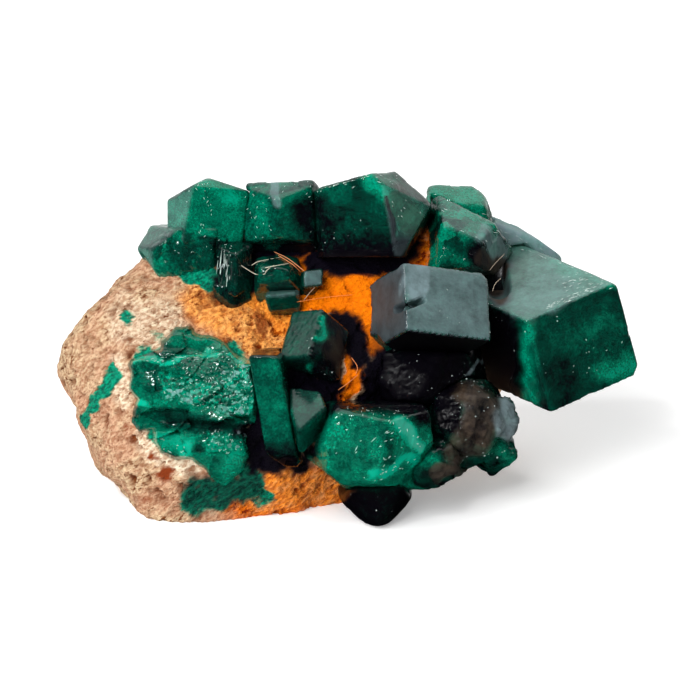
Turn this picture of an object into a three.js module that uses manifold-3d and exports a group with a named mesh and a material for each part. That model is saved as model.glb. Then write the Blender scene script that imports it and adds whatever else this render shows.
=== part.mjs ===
// Dioptase specimen: emerald-green crystals grown on a lump of sandy, iron-stained rock.
// Millimetres. The specimen is drawn in its front view, the view a collector displays it in,
// which looks down on it by VIEW_LEAN: x runs right, y up the view, z towards the viewer.
// One group then leans that drawing back, so that the finished part stands on its base with +Z up.
import * as THREE from "three";
import { ConvexGeometry } from "three/addons/geometries/ConvexGeometry.js";
import { mergeVertices } from "three/addons/utils/BufferGeometryUtils.js";
import Module from "manifold-3d";

const wasm = await Module();
wasm.setup();

// Driving dimensions
const VIEW_LEAN = 20; // degrees that the front view looks down
const BASE_DROP = 9.2; // height of the front view's origin above the base
const GAP = 0.3; // clearance between a crystal and what it grew in or against
const ROCK_HEART = [-5, -2, -1]; // middle of the lump of rock
const ROCK_SPLITS = 13; // how finely the rock's surface is divided
const ROCK_ROUNDING = 14; // higher is sharper where two broken faces meet
const LUMP_SIZE = 4.5; // spacing of the rock's lumps
const LUMP_HEIGHT = 0.7;
const PIT_SIZE = 1.7; // spacing of the small pits and knobs
const PIT_DEPTH = 0.3;

// The rock's broken faces: degrees to the right of the viewer, degrees up, distance from its heart.
const ROCK_FACES = [
  [-90, -2, 15.8],
  [-92, 57, 11.5],
  [-90, -34, 13.2],
  [-4, -14, 9.0],
  [28, -38, 8.6],
  [-3, 30, 6.4],
  [-40, 2, 11.3],
  [0, 70, 10.4],
  [180, 48, 11.2],
  [180, 8, 9.2],
  [-140, 15, 11.5],
  [-130, 50, 12.2],
  [140, 15, 15.2],
  [95, -8, 17.8],
  [110, 45, 15.6],
  [45, 0, 9.8],
  [80, -45, 11.5],
  [180, -35, 11],
];

// A unit vector for a face that looks `turn` degrees to the right of the viewer and `lift` up.
function facing(turn, lift) {
  const t = THREE.MathUtils.degToRad(turn);
  const l = THREE.MathUtils.degToRad(lift);
  return new THREE.Vector3(Math.sin(t) * Math.cos(l), Math.sin(l), Math.cos(t) * Math.cos(l));
}

// The faces of a crystal with a heart and faces given as [turn, lift, reach from the heart].
function habit(heart, faces) {
  const centre = new THREE.Vector3(...heart);
  return faces.map(([turn, lift, reach]) => {
    const normal = facing(turn, lift);
    return new THREE.Plane(normal, -(normal.dot(centre) + reach));
  });
}

// The faces of a boxy crystal: its near corner and the three edges that leave it. Faces 0, 1 and 2
// meet at the corner, each across from the edge of its number, and 3, 4 and 5 lie opposite them.
// Each cut lists the faces whose shared edge or corner it takes off, and then how deep.
function block(corner, edges, cuts = []) {
  const near = new THREE.Vector3(...corner);
  const e = edges.map((edge) => new THREE.Vector3(...edge));
  const far = near.clone().add(e[0]).add(e[1]).add(e[2]);
  const out = [0, 1, 2].map((i) => {
    const n = new THREE.Vector3().crossVectors(e[(i + 1) % 3], e[(i + 2) % 3]).normalize();
    return n.dot(e[i]) > 0 ? n.negate() : n;
  });
  const planes = [
    ...out.map((n) => new THREE.Plane(n.clone(), -n.dot(near))),
    ...out.map((n) => new THREE.Plane(n.clone().negate(), n.dot(far))),
  ];
  for (const cut of cuts) {
    const ids = cut.slice(0, -1);
    const depth = cut[cut.length - 1];
    const normal = new THREE.Vector3();
    ids.forEach((id) => normal.add(planes[id].normal));
    normal.normalize();
    const reach = Math.max(...corners(planes.slice(0, 6)).map((p) => p.dot(normal)));
    planes.push(new THREE.Plane(normal, depth - reach));
  }
  return planes;
}

// Every point where three of the planes meet on the inner side of all the others.
function corners(planes) {
  const found = [];
  for (let i = 0; i < planes.length; i++)
    for (let j = i + 1; j < planes.length; j++)
      for (let k = j + 1; k < planes.length; k++) {
        const [a, b, c] = [planes[i], planes[j], planes[k]];
        const bc = new THREE.Vector3().crossVectors(b.normal, c.normal);
        const det = a.normal.dot(bc);
        if (Math.abs(det) < 1e-6) continue;
        const p = bc.multiplyScalar(-a.constant)
          .add(new THREE.Vector3().crossVectors(c.normal, a.normal).multiplyScalar(-b.constant))
          .add(new THREE.Vector3().crossVectors(a.normal, b.normal).multiplyScalar(-c.constant))
          .divideScalar(det);
        if (planes.every((q) => q.distanceToPoint(p) < 1e-6)) found.push(p);
      }
  return found;
}

function solidOf(geometry) {
  const bare = geometry.index ? geometry.toNonIndexed() : geometry.clone();
  bare.deleteAttribute("normal");
  bare.deleteAttribute("uv");
  const merged = mergeVertices(bare, 1e-5);
  return new wasm.Manifold(new wasm.Mesh({
    numProp: 3,
    vertProperties: merged.attributes.position.array,
    triVerts: new Uint32Array(merged.index.array),
  }));
}

function geometryOf(solid) {
  const mesh = solid.getMesh();
  return new THREE.BufferGeometry()
    .setAttribute("position", new THREE.BufferAttribute(mesh.vertProperties, 3))
    .setIndex(new THREE.BufferAttribute(mesh.triVerts, 1))
    .toNonIndexed();
}

// A crystal's solid, with every face pushed out by `growth`.
function crystal(planes, growth = 0) {
  return solidOf(new ConvexGeometry(corners(planes.map(
    (p) => new THREE.Plane(p.normal, p.constant - growth)))));
}

function fused(habits, growth = 0) {
  return habits.map((planes) => crystal(planes, growth)).reduce((all, one) => all.add(one));
}

function largest(solid) {
  return solid.decompose().reduce((best, one) => (one.volume() > best.volume() ? one : best));
}

// Repeatable noise from -1 to 1 that varies smoothly over about one unit.
function noise(x, y, z) {
  const hash = (i, j, k) => {
    const s = Math.sin(i * 127.1 + j * 311.7 + k * 74.7) * 43758.5453;
    return 2 * (s - Math.floor(s)) - 1;
  };
  const ease = (t) => t * t * (3 - 2 * t);
  const [i, j, k] = [Math.floor(x), Math.floor(y), Math.floor(z)];
  const [u, v, w] = [ease(x - i), ease(y - j), ease(z - k)];
  const mix = THREE.MathUtils.lerp;
  const row = (dj, dk) => mix(hash(i, j + dj, k + dk), hash(i + 1, j + dj, k + dk), u);
  return mix(mix(row(0, 0), row(1, 0), v), mix(row(0, 1), row(1, 1), v), w);
}

// The lump of rock: broken faces that round into each other, with lumps and pits on them, and its
// whole surface pushed out by `growth`.
function rock(growth = 0) {
  const ball = new THREE.IcosahedronGeometry(1, ROCK_SPLITS);
  ball.deleteAttribute("normal");
  ball.deleteAttribute("uv");
  const stone = mergeVertices(ball);
  const faces = ROCK_FACES.map(([turn, lift, reach]) => [facing(turn, lift), reach]);
  const heart = new THREE.Vector3(...ROCK_HEART);
  const at = stone.attributes.position;
  const ray = new THREE.Vector3();
  for (let i = 0; i < at.count; i++) {
    ray.fromBufferAttribute(at, i).normalize();
    let sum = 0;
    for (const [normal, reach] of faces)
      sum += Math.max(0, ray.dot(normal) / reach) ** ROCK_ROUNDING;
    let radius = sum ** (-1 / ROCK_ROUNDING);
    const p = ray.clone().multiplyScalar(radius).add(heart);
    radius += LUMP_HEIGHT * noise(p.x / LUMP_SIZE, p.y / LUMP_SIZE, p.z / LUMP_SIZE);
    radius += PIT_DEPTH * noise(p.x / PIT_SIZE, p.y / PIT_SIZE, p.z / PIT_SIZE);
    p.copy(ray).multiplyScalar(radius + growth).add(heart);
    at.setXYZ(i, p.x, p.y, p.z);
  }
  return solidOf(stone);
}

// Crystals, from the first to grow to the last: each stops short of the rock and of those before it.
const CRYSTALS = {
  right_crystal: [
    block([11.9, 1.9, 6.0], [[6.15, 2.65, -3.9], [-7.9, 3.6, -8.2], [1.7, -6.0, -2.6]],
      [[2, 3, 0.2], [3, 5, 0.4], [1, 3, 0.1]]),
  ],
  centre_crystal: [
    block([3.8, 1.35, 9.5], [[5.55, -0.65, -2.2], [-0.2, 4.4, -2.4], [-2.2, -1.3, -4.6]],
      [[0, 5, 1, 1.0], [3, 4, 0.3]]),
  ],
  dark_crystal: [
    block([-2.8, -0.45, 9.0], [[-2.1, -0.15, -2.0], [0.9, 3.1, -2.0], [3.1, -2.5, -3.4]],
      [[2, 3, 0.2], [4, 5, 0.9]]),
  ],
  slab_crystal: [
    block([-4.9, -0.5, 9.6], [[-1.75, 0.05, -0.8], [1.3, -7.4, -0.8], [0.6, 0.7, -5.0]],
      [[2, 4, 0.8], [3, 4, 0.6]]),
  ],
  wedge_crystal: [
    block([-3.4, -5.4, 10.2], [[-0.95, 2.4, -2.2], [1.7, 1.55, -1.4], [0.1, -1.4, -1.5]],
      [[3, 4, 1.8]]),
  ],
  bottom_crystal: [
    habit([0.9, -6.4, 7.0], [
      [-12, 8, 3.3], [42, 0, 3.7], [-28, -42, 2.9], [15, 66, 3.0], [-75, 22, 3.1], [-62, -22, 3.2],
      [-88, -52, 2.85], [55, -40, 3.0], [100, 10, 4.3], [180, 0, 3.5], [0, -85, 2.6], [20, 85, 2.7],
    ]),
  ],
  top_left_crystals: [
    habit([-9.7, 9.4, 0.6], [
      [12, -3, 1.7], [-48, 8, 2.2], [-90, 62, 1.95], [90, 72, 2.1], [16, 45, 2.35],
      [90, -8, 2.5], [-95, -2, 2.6], [-90, -77, 2.2], [180, 0, 3.0],
    ]),
    habit([-11.4, 6.5, 0.5], [
      [0, -5, 1.8], [-55, 45, 2.1], [-62, -8, 2.6], [-20, -66, 2.0], [85, -10, 2.1],
      [40, -45, 2.3], [0, 85, 1.8], [-120, 0, 2.6], [180, 0, 2.5],
    ]),
  ],
  striated_crystal: [
    block([-7.8, 3.7, 4.2], [[-1.2, 0.55, -1.2], [0.07, 2.7, -0.4], [1.0, 0.7, -1.4]]),
    habit([-8.2, 3.7, 2.8], [
      [-25, 5, 0.9], [28, -8, 0.9], [-72, 32, 1.3], [-66, -38, 1.15], [74, 22, 1.3], [68, -42, 1.2],
      [0, -75, 0.65], [0, 75, 0.75], [180, 0, 1.5],
    ]),
  ],
  top_middle_crystal: [
    habit([-4.6, 9.0, 0.8], [
      [22, -8, 2.3], [-33, 2, 2.4], [-12, 52, 2.6], [180, 73, 1.9], [72, 0, 2.4],
      [-95, 0, 2.3], [0, -72, 1.9], [180, 10, 3],
    ]),
  ],
  top_crystal: [
    habit([1.5, 8.8, 0.8], [
      [-9, -7, 3.3], [36, 2, 3.5], [-110, 75, 2.65], [97, 48, 3.3], [55, 42, 3.6],
      [80, -25, 3.2], [0, -64, 3.6], [-78, -6, 3.9], [180, 0, 4],
    ]),
  ],
  top_right_crystal: [
    habit([7.5, 7.2, 0.0], [
      [22, 49, 2.2], [-9, -12, 2.5], [66, -6, 2.3], [0, -78, 1.9], [-78, 6, 1.8],
      [114, 58, 2.0], [180, 0, 3.5],
    ]),
  ],
  back_right_crystal: [
    habit([7.4, 9.6, -2.8], [
      [10, 53, 1.5], [6, -18, 1.9], [180, 72, 1.5], [84, 6, 2.0], [100, 45, 1.9], [-95, 0, 2.0],
      [0, -80, 1.6], [180, 0, 3],
    ]),
  ],
  right_rear_crystal: [
    block([8.9, 9.1, -2.6], [[5.4, -2.1, -1.6], [0.4, 0.3, -4.0], [-0.3, -3.8, -1.0]],
      [[1, 5, 0.3]]),
  ],
  lower_left_crystals: [
    habit([-10.25, 0.5, 6.3], [
      [0, 5, 1.5], [90, 64, 0.8], [-90, 42, 1.8], [0, -88, 1.5], [90, 0, 2.8], [-90, 0, 2.9],
      [8, 46, 1.45], [180, 0, 2.5],
    ]),
    habit([-10.9, -2.05, 6.6], [
      [-4, 4, 2.2], [6, -40, 2.3], [-88, 0, 4.0], [-50, 5, 3.2], [88, 0, 4.2], [-3, 80, 1.7],
      [-6, 42, 2.3], [0, -85, 1.9], [-60, -40, 3.4], [180, 0, 2.6],
    ]),
    habit([-13.95, -4.3, 6.0], [
      [-8, 0, 1.6], [-88, 5, 0.9], [85, 0, 1.0], [0, 85, 1.1], [-10, -80, 1.15],
      [-12, -45, 1.5], [180, 0, 2.0],
    ]),
    habit([-12.0, -6.2, 6.8], [
      [-6, 10, 1.7], [-85, -10, 1.35], [88, 0, 1.4], [0, 85, 1.2], [-15, -78, 1.15],
      [-30, -40, 1.65], [180, 0, 2.4],
    ]),
    habit([-8.9, -6.7, 7.0], [
      [-6, 8, 1.8], [-80, -20, 1.9], [85, 5, 2.1], [-90, -50, 1.9], [90, -50, 2.2], [0, 85, 1.7],
      [0, -40, 1.9], [35, 38, 2.0], [180, 0, 2.8],
    ]),
  ],
  foot_crystal: [
    habit([1.8, -9.8, 5.2], [
      [5, -8, 2.0], [-50, -35, 1.75], [55, -30, 1.75], [-88, -48, 1.8], [88, -42, 1.8],
      [180, -70, 1.52], [-85, 15, 2.0], [85, 15, 2.0], [180, 0, 3.0], [0, 75, 1.6],
    ]),
  ],
  lower_right_crystals: [
    habit([5.3, -7.5, 5.7], [
      [-22, 5, 1.7], [26, 8, 1.8], [0, 60, 1.4], [-78, 20, 1.6], [-70, -32, 1.6], [20, -52, 1.5],
      [76, -22, 1.9], [84, 30, 1.9], [90, -62, 1.55], [0, -85, 1.5], [180, 0, 3.0],
    ]),
    habit([8.0, -4.6, 4.2], [
      [-18, 12, 2.4], [24, -6, 2.3], [-75, 10, 2.5], [-60, -40, 2.7], [-40, 55, 2.5], [30, 58, 2.5],
      [180, 82, 2.5], [80, 25, 2.1], [85, -25, 2.3], [10, -62, 2.8], [90, -65, 2.9], [180, 0, 3.0],
    ]),
    habit([10.0, -4.9, 3.6], [
      [34, 4, 1.3], [-30, 10, 1.2], [95, 18, 1.15], [90, -30, 1.1], [180, 72, 1.35], [0, -70, 1.3],
      [-85, 0, 1.2], [180, 0, 2.4],
    ]),
    habit([10.0, -6.9, 3.5], [
      [12, -6, 1.2], [58, 10, 1.1], [95, 12, 1.1], [-62, 0, 1.1], [0, 80, 1.0], [18, -68, 0.9],
      [90, -50, 1.0], [-72, -55, 1.1], [180, 0, 2.4],
    ]),
  ],
  lower_centre_crystals: [
    habit([5.0, -1.7, 3.8], [
      [-12, 10, 2.1], [26, -12, 2.2], [-70, 24, 3.1], [-62, -34, 2.9], [76, 12, 3.4], [64, -40, 3.0],
      [0, 78, 1.8], [0, -78, 1.9], [180, 0, 2.4],
    ]),
  ],
  small_crystal_left: [
    habit([-5.0, 5.0, 2.8], [
      [-8, 14, 1.5], [-78, 4, 1.35], [70, 10, 1.3], [20, 68, 1.0], [-30, 70, 1.05],
      [10, -62, 1.0], [180, 0, 2.0],
    ]),
  ],
  small_crystal_low: [
    block([-5.7, 3.6, 4.6], [[2.0, 0.2, -0.6], [0.3, -0.9, -0.6], [0.3, 0.5, -1.8]]),
  ],
  small_crystal_cube: [
    block([-3.1, 4.3, 4.3], [[1.1, 0.15, -0.4], [0.05, 0.95, -0.5], [-0.3, -0.1, -1.6]]),
  ],
};

const GREEN = new THREE.MeshStandardMaterial({ color: 0x0a6b55, roughness: 0.25, metalness: 0 });
const STONE = new THREE.MeshStandardMaterial({ color: 0xc9a47c, roughness: 0.95, metalness: 0 });

const specimen = new THREE.Group();
specimen.rotation.x = THREE.MathUtils.degToRad(90 - VIEW_LEAN);
specimen.position.z = BASE_DROP;

function addPiece(name, solid, material) {
  const mesh = new THREE.Mesh(geometryOf(solid), material);
  mesh.name = name;
  specimen.add(mesh);
}

let taken = rock(GAP);
for (const [name, habits] of Object.entries(CRYSTALS)) {
  addPiece(name, largest(fused(habits).subtract(taken)), GREEN);
  taken = taken.add(fused(habits, GAP));
}

// The matrix: the rock, cut off flat where it stands.
const ground = new THREE.BoxGeometry(80, 80, 40).translate(0, 0, -20 - BASE_DROP);
ground.rotateX(-specimen.rotation.x);
addPiece("matrix", largest(rock().subtract(solidOf(ground))), STONE);

// The origin goes to the middle of the bottom of the whole part.
const part = new THREE.Group();
part.add(specimen);
part.updateMatrixWorld(true);
const middle = new THREE.Box3().setFromObject(part, true).getCenter(new THREE.Vector3());
part.position.set(-middle.x, -middle.y, 0);
export default part;
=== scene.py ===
import itertools
import math

import bmesh
import bpy
import numpy as np
from bpy.props import FloatProperty, FloatVectorProperty, PointerProperty
from mathutils import Matrix, Vector


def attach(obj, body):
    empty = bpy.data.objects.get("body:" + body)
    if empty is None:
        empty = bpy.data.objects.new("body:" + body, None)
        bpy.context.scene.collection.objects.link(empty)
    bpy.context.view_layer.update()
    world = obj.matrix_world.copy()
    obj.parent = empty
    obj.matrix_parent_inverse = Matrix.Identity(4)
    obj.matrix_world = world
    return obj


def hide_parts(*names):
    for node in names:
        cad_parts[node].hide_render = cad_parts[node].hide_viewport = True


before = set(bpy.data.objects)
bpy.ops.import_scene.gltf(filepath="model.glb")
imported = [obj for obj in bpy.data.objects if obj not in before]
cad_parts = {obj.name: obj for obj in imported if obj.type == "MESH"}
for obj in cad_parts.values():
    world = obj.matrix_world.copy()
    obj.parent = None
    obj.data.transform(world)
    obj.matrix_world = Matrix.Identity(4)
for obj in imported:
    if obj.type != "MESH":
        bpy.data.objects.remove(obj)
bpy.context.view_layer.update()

bl_info = {
    "name": "Dioptase specimen",
    "version": (1, 0, 0),
    "blender": (4, 5, 0),
    "location": "3D View > Sidebar > Dioptase",
    "description": "Builds a dioptase specimen: emerald crystals on sandy, iron-stained rock",
    "category": "Add Mesh",
}

MM = 0.001

# The front view, in which a collector displays the specimen, looks down on it by LEAN. In its
# frame x runs right, y up the view and z towards the viewer, in millimetres from VIEW_CENTRE.
LEAN = math.radians(20.0)
VIEW_CENTRE = np.array((0.2, 1.05, 9.2))
VIEW_AXES = np.array((
    (1.0, 0.0, 0.0),
    (0.0, math.sin(LEAN), math.cos(LEAN)),
    (0.0, -math.cos(LEAN), math.sin(LEAN)),
))
VIEW_WIDTH = 47.86  # mm that the picture takes in across the specimen
CAMERA_DISTANCE = 400.0
SENSOR = 36.0
CLIP_START = 0.01  # metres in front of the camera where the picture begins

# The rock: its heart and its broken faces, each [degrees right of the viewer, degrees up, reach].
ROCK_HEART = np.array((-5.0, -2.0, -1.0))
ROCK_FACES = np.array((
    (-90, -2, 15.8), (-92, 57, 11.5), (-90, -34, 13.2), (-4, -14, 9.0), (28, -38, 8.6), (-3, 30, 6.4),
    (-40, 2, 11.3), (0, 70, 10.4), (180, 48, 11.2), (180, 8, 9.2), (-140, 15, 11.5), (-130, 50, 12.2),
    (140, 15, 15.2), (95, -8, 17.8), (110, 45, 15.6), (45, 0, 9.8), (80, -45, 11.5), (180, -35, 11.0),
))
ROCK_ROUNDING = 14
BED_SLANT = math.radians(35.0)  # how steeply the rock's beds rise to the right
LUMPS = ((4.5, 0.7), (1.7, 0.3))  # spacing and height of the rock's lumps and of its knobs
ROCK_COLUMNS = 440
ROCK_ROWS = 224
FRONT_CROWDING = 0.35  # how much closer the rock's columns stand on the displayed side
SEARCH_DEPTH = 8.0  # in front of the rock's heart, where the search for its displayed side begins
SEARCH_STEPS = 14
STAIN_AND_SHADE_DEPTH = (-2, 1)  # depth in the front view where the stains and the painted shade begin and are full

# Stains and painted shade on the rock's displayed side, in front-view millimetres: path, width, strength.
ROCK_STAINS_AND_SHADE = {
    "orange": (
        (((-3.0, 5.6), (0.5, 5.4), (2.8, 4.9)), 1.7, 1.6),
        (((-3.4, 4.2), (-1.0, 3.9), (0.6, 3.6)), 1.2, 1.6),
        (((0.4, 5.0), (1.2, 2.8)), 1.5, 1.6),
        (((1.2, 2.8), (1.8, 0.4)), 0.8, 1.6),
        (((-0.4, 2.6), (0.6, 0.8)), 0.8, 1.6),
        (((0.3, -0.6), (0.6, -1.8), (-0.7, -3.1)), 0.8, 1.6),
        (((-9.0, 3.2), (-7.0, 2.6), (-4.6, 1.6)), 3.2, 0.5),
        (((-3.9, 2.9), (-1.5, 3.1), (0.0, 3.2)), 0.5, 1.6),
        (((-6.2, 3.8), (-4.4, 2.2)), 1.7, 1.1),
        (((-7.0, -10.2), (-3.5, -9.3), (-0.6, -9.2)), 2.4, 0.8),
        (((5.0, 9.0), (5.0, 5.8)), 1.8, 0.9),
    ),
    "cream": (
        (((-13.9, -5.6), (-13.3, -7.1), (-11.8, -7.8), (-10.6, -7.9)), 0.7, 1.0),
        (((-15.0, 2.0), (-13.0, 1.4)), 2.2, 0.6),
        (((-15.6, -1.0), (-15.4, -3.4)), 0.9, 0.8),
    ),
    "ochre": (
        (((-9.2, 3.4), (-7.2, 2.6), (-5.8, 1.4)), 3.0, 0.6),
        (((-6.0, -9.6), (-1.5, -9.2)), 1.8, 0.35),
    ),
    "rust": (
        (((-13.6, -7.0), (-13.3, -7.2)), 0.3, 1.0),
        (((-12.8, -8.3), (-12.3, -8.3)), 0.3, 1.0),
        (((-15.3, -4.9), (-15.1, -5.0)), 0.3, 0.9),
        (((-14.0, -9.9), (-13.8, -10.0)), 0.35, 0.7),
        (((-6.2, 2.4), (-5.6, 1.0)), 0.35, 0.8),
        (((0.1, 5.3), (1.2, 5.0)), 0.35, 1.0),
        (((-1.2, -3.0), (-0.8, -3.2)), 0.4, 0.9),
    ),
    # The dark paint is painted shade: near black where the rock lies in shadow between the crystals, under
    # them and behind them.
    "dark": (
        (((-10.0, 6.9), (-7.5, 6.5), (-3.0, 7.6), (3.6, 7.2)), 1.8, 1.0),
        (((-8.6, 4.4), (-4.5, 5.0)), 1.4, 1.0),
        (((-5.2, -1.2), (-3.6, -2.4), (-2.8, -4.6), (-1.4, -5.0)), 1.3, 1.0),
        (((-0.9, 1.9), (0.1, 1.5), (0.4, 0.6), (0.8, -0.4)), 1.2, 1.0),
        (((-3.0, -1.5), (-2.2, -2.9)), 1.1, 1.0),
        (((-1.4, -0.4), (-1.2, -2.2)), 1.0, 1.0),
        (((-6.5, -1.2), (-6.2, -5.6), (-5.8, -7.2)), 0.9, 1.0),
        (((2.6, -0.4), (2.0, -3.0)), 1.5, 1.0),
        (((1.7, -0.9), (1.5, -2.4), (0.9, -3.6)), 0.8, 1.0),
        (((-1.6, -1.6), (-1.6, -3.2), (-1.0, -3.9)), 0.8, 1.0),
        (((-2.4, 5.9), (3.2, 5.8)), 1.2, 1.0),
        (((4.6, -0.5), (9.0, 0.0), (9.0, -5.0), (3.6, -6.0)), 4.2, 1.0),
        (((-7.0, -5.4), (-6.4, -7.6), (-3.4, -7.6)), 1.0, 1.0),
        (((-10.2, -9.7), (-8.0, -9.5), (-7.0, -9.0)), 1.8, 0.7),
    ),
    "green": (
        (((-15.9, -1.2), (-16.4, -2.4), (-16.8, -3.0)), 0.6, 1.0),
        (((-17.4, -3.6), (-18.1, -4.7)), 0.6, 1.0),
        (((-15.3, 2.3), (-15.1, 2.2)), 0.5, 0.9),
        (((-13.3, 0.9), (-13.0, 0.8)), 0.7, 0.5),
        (((-10.4, -9.9), (-8.6, -9.6), (-6.8, -9.0)), 1.6, 0.9),
        (((-6.1, -10.0), (-5.8, -10.0)), 0.7, 0.8),
        (((-11.0, 5.3), (-9.5, 4.9)), 1.0, 1.0),
        (((-13.6, -0.8), (-8.0, -0.4), (-8.0, -7.0), (-12.6, -5.6)), 1.2, 1.0),
    ),
}

# The lower left mass: its node, width of its mesh's quads, how far it reaches under the rock's
# surface, its brightness inside, the size and height of its blocks and of its fine facets, and its
# least thickness.
CRUST = "lower_left_crystals"
CRUST_SPACING = 0.062
CRUST_ROOT = 1.4
CRUST_TONE = 0.46
CRUST_BLOCKS = (2.1, 1.3, 1.0)
CRUST_BLOCK_HEIGHT = 0.42
CRUST_FACETS = (0.26, 0.2, 1.0)
CRUST_FACET_HEIGHT = 0.02
CRUST_FINE_HEIGHT = 0.1  # what the finely broken places add to that
CRUST_LEAST = 0.15
CRUST_SHARPNESS = math.radians(24)  # edges that bend more than this stay sharp
# Its outline in the front view, its thickness from bottom to top, and where its surface is finely broken and
# painted to sparkle.
CRUST_OUTLINE = (
    (-15.0, -1.0), (-14.8, -0.55), (-13.9, -0.25), (-12.95, 0.0), (-12.65, 0.6), (-11.95, 1.5),
    (-10.8, 1.7), (-10.5, 1.2), (-9.1, 0.8), (-8.0, 0.2), (-7.45, -0.3), (-6.5, -0.8), (-6.2, -2.9),
    (-6.3, -4.9), (-7.2, -5.3), (-7.0, -6.1), (-6.6, -6.9), (-7.2, -8.1), (-8.5, -9.1), (-9.35, -8.6),
    (-9.95, -7.9), (-10.8, -7.45), (-11.8, -7.35), (-12.9, -6.95), (-13.3, -6.25), (-13.3, -5.35),
    (-14.2, -5.4), (-14.8, -4.9), (-14.65, -4.0), (-14.3, -3.3), (-14.9, -2.7),
)
CRUST_LEDGES = (
    (-9.0, 0.35), (-7.6, 0.75), (-6.8, 1.1), (-5.3, 1.1), (-4.9, 0.4), (-4.5, 0.35), (-4.2, 1.3),
    (-2.6, 1.4), (-0.6, 1.15), (-0.35, 0.75), (0.6, 0.7), (1.0, 0.4), (2.2, 0.3),
)
CRUST_SPARKLE = (
    (((-11.6, -2.4), (-9.4, -2.6), (-7.3, -1.6)), 1.5, 1.0),
    (((-9.4, -2.6), (-7.2, -3.8)), 1.3, 1.0),
    (((-9.2, -6.2), (-7.8, -6.0)), 1.0, 0.8),
    (((-12.6, -0.9), (-8.0, -0.3)), 0.5, 0.6),
)

# How each crystal is finished: width of its mesh's quads, smoothing of its edges, brightness inside,
# waviness of its faces, depth and width in millimetres of the facets that it is broken into, how
# much those differ in a painted sparkle that stands for the glints they catch, and depth of upright growth
# lines.
PLAIN = {"spacing": 0.1, "rounding": 1, "tone": 0.5, "wave": 0.02, "broken": 0.0, "facet": 1.0,
         "sparkle": 0.0, "lines": 0.0}
CLEAR_CRYSTALS = {
    "right_crystal": {**PLAIN, "tone": 0.3},
    "centre_crystal": {**PLAIN, "rounding": 3, "tone": 0.25},
    "dark_crystal": {**PLAIN, "tone": 0.1, "lines": 0.012},
    "slab_crystal": {**PLAIN, "tone": 0.4},
    "wedge_crystal": {**PLAIN, "tone": 0.3},
    "top_left_crystals": {**PLAIN, "tone": 0.55, "broken": 0.16, "facet": 0.55, "sparkle": 0.7},
    "striated_crystal": {**PLAIN, "spacing": 0.045, "tone": 0.1, "lines": 0.02},
    "top_middle_crystal": {**PLAIN, "tone": 0.42, "broken": 0.06, "facet": 1.6, "sparkle": 0.3},
    "top_crystal": {**PLAIN, "rounding": 4, "tone": 0.26, "broken": 0.05, "facet": 2.0, "sparkle": 0.2},
    "top_right_crystal": {**PLAIN, "tone": 0.4, "broken": 0.06, "facet": 1.0, "sparkle": 0.5},
    "back_right_crystal": {**PLAIN, "rounding": 50, "tone": 0.6, "broken": 0.05, "facet": 1.4},
    "right_rear_crystal": {**PLAIN, "rounding": 6, "tone": 0.9, "broken": 0.05, "facet": 0.9},
}
BROKEN_CRYSTALS = {
    "bottom_crystal": {**PLAIN, "rounding": 3, "tone": 0.5, "broken": 0.05, "facet": 0.8, "sparkle": 0.2},
    # The foot and the lower centre crystals are painted near black inside: painted shade low down and under
    # the centre crystal.
    "foot_crystal": {**PLAIN, "rounding": 40, "tone": -0.1, "wave": 0.12, "broken": 0.03},
    "lower_right_crystals": {**PLAIN, "rounding": 8, "tone": 0.15, "wave": 0.12, "broken": 0.12, "facet": 0.7,
                             "sparkle": 0.3},
    "lower_centre_crystals": {**PLAIN, "rounding": 10, "tone": -0.15, "wave": 0.15, "broken": 0.08},
}
SMALL_CRYSTALS = {
    "small_crystal_left": {**PLAIN, "spacing": 0.06, "rounding": 8, "tone": 0.28, "broken": 0.04,
                           "facet": 0.6, "sparkle": 0.3},
    "small_crystal_low": {**PLAIN, "spacing": 0.05, "tone": 0.3},
    "small_crystal_cube": {**PLAIN, "spacing": 0.05, "tone": 0.2},
}

# What all the crystals share, with lengths in millimetres.
WAVE_LENGTH = 2.0  # width of the waves in their faces
CHIP_LENGTHS = (1.0, 0.4)  # width of the large and the small chips in their edges
LINES = (6.0, 6.0, 0.25)  # growth lines in a millimetre, across and along them
SMALL_FACETS = 2.7  # small facets across a large one
SMALL_FACET_HEIGHT = 0.35  # of a large facet's height
ROOT_HEIGHTS = (0.35, 0.8)  # a crystal is drawn in below the first, and left alone above the second
ROOT_DEPTH = 0.6  # how far it is drawn in towards the rock's heart
FACET_GLINT = 0.7  # strength of the pale film painted on the brightest facets as glints
PAINT_FADE = 1.3  # how far a brighter or darker place fades out, in its widths

# Faces painted by the way they look, lighter or darker than the rest of their crystal as the light falls on
# them, many with a painted grey sheen for the sky they mirror: degrees right of the viewer, degrees up,
# brightness inside and strength of the grey sheen.
LIT_AND_SHADED_SIDES = {
    "right_crystal": ((-10, 62, 0.55, 0.36), (-55, -26, 0.0, 0.0)),
    "centre_crystal": ((25, 27, 0.3, 0.42), (-67, 10, -0.2, 0.22), (25, -63, -0.2, 0.0)),
    "dark_crystal": ((-45, 33, 0.28, 0.02),),
    "wedge_crystal": ((0, 42, 0.35, 0.05),),
    "top_right_crystal": ((22, 49, 0.5, 0.15),),
    "back_right_crystal": ((10, 53, 0.7, 0.05),),
    "top_left_crystals": ((-48, 8, 0.5, 0.0), (-55, 45, 0.4, 0.12), (-62, -8, 0.6, 0.2)),
    "top_middle_crystal": ((-12, 52, 0.42, 0.06),),
    "top_crystal": ((36, 2, 0.5, 0.15),),
    "small_crystal_low": ((0, 60, 0.4, 0.25),),
    "small_crystal_cube": ((0, 10, 0.3, 0.35),),
}
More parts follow.
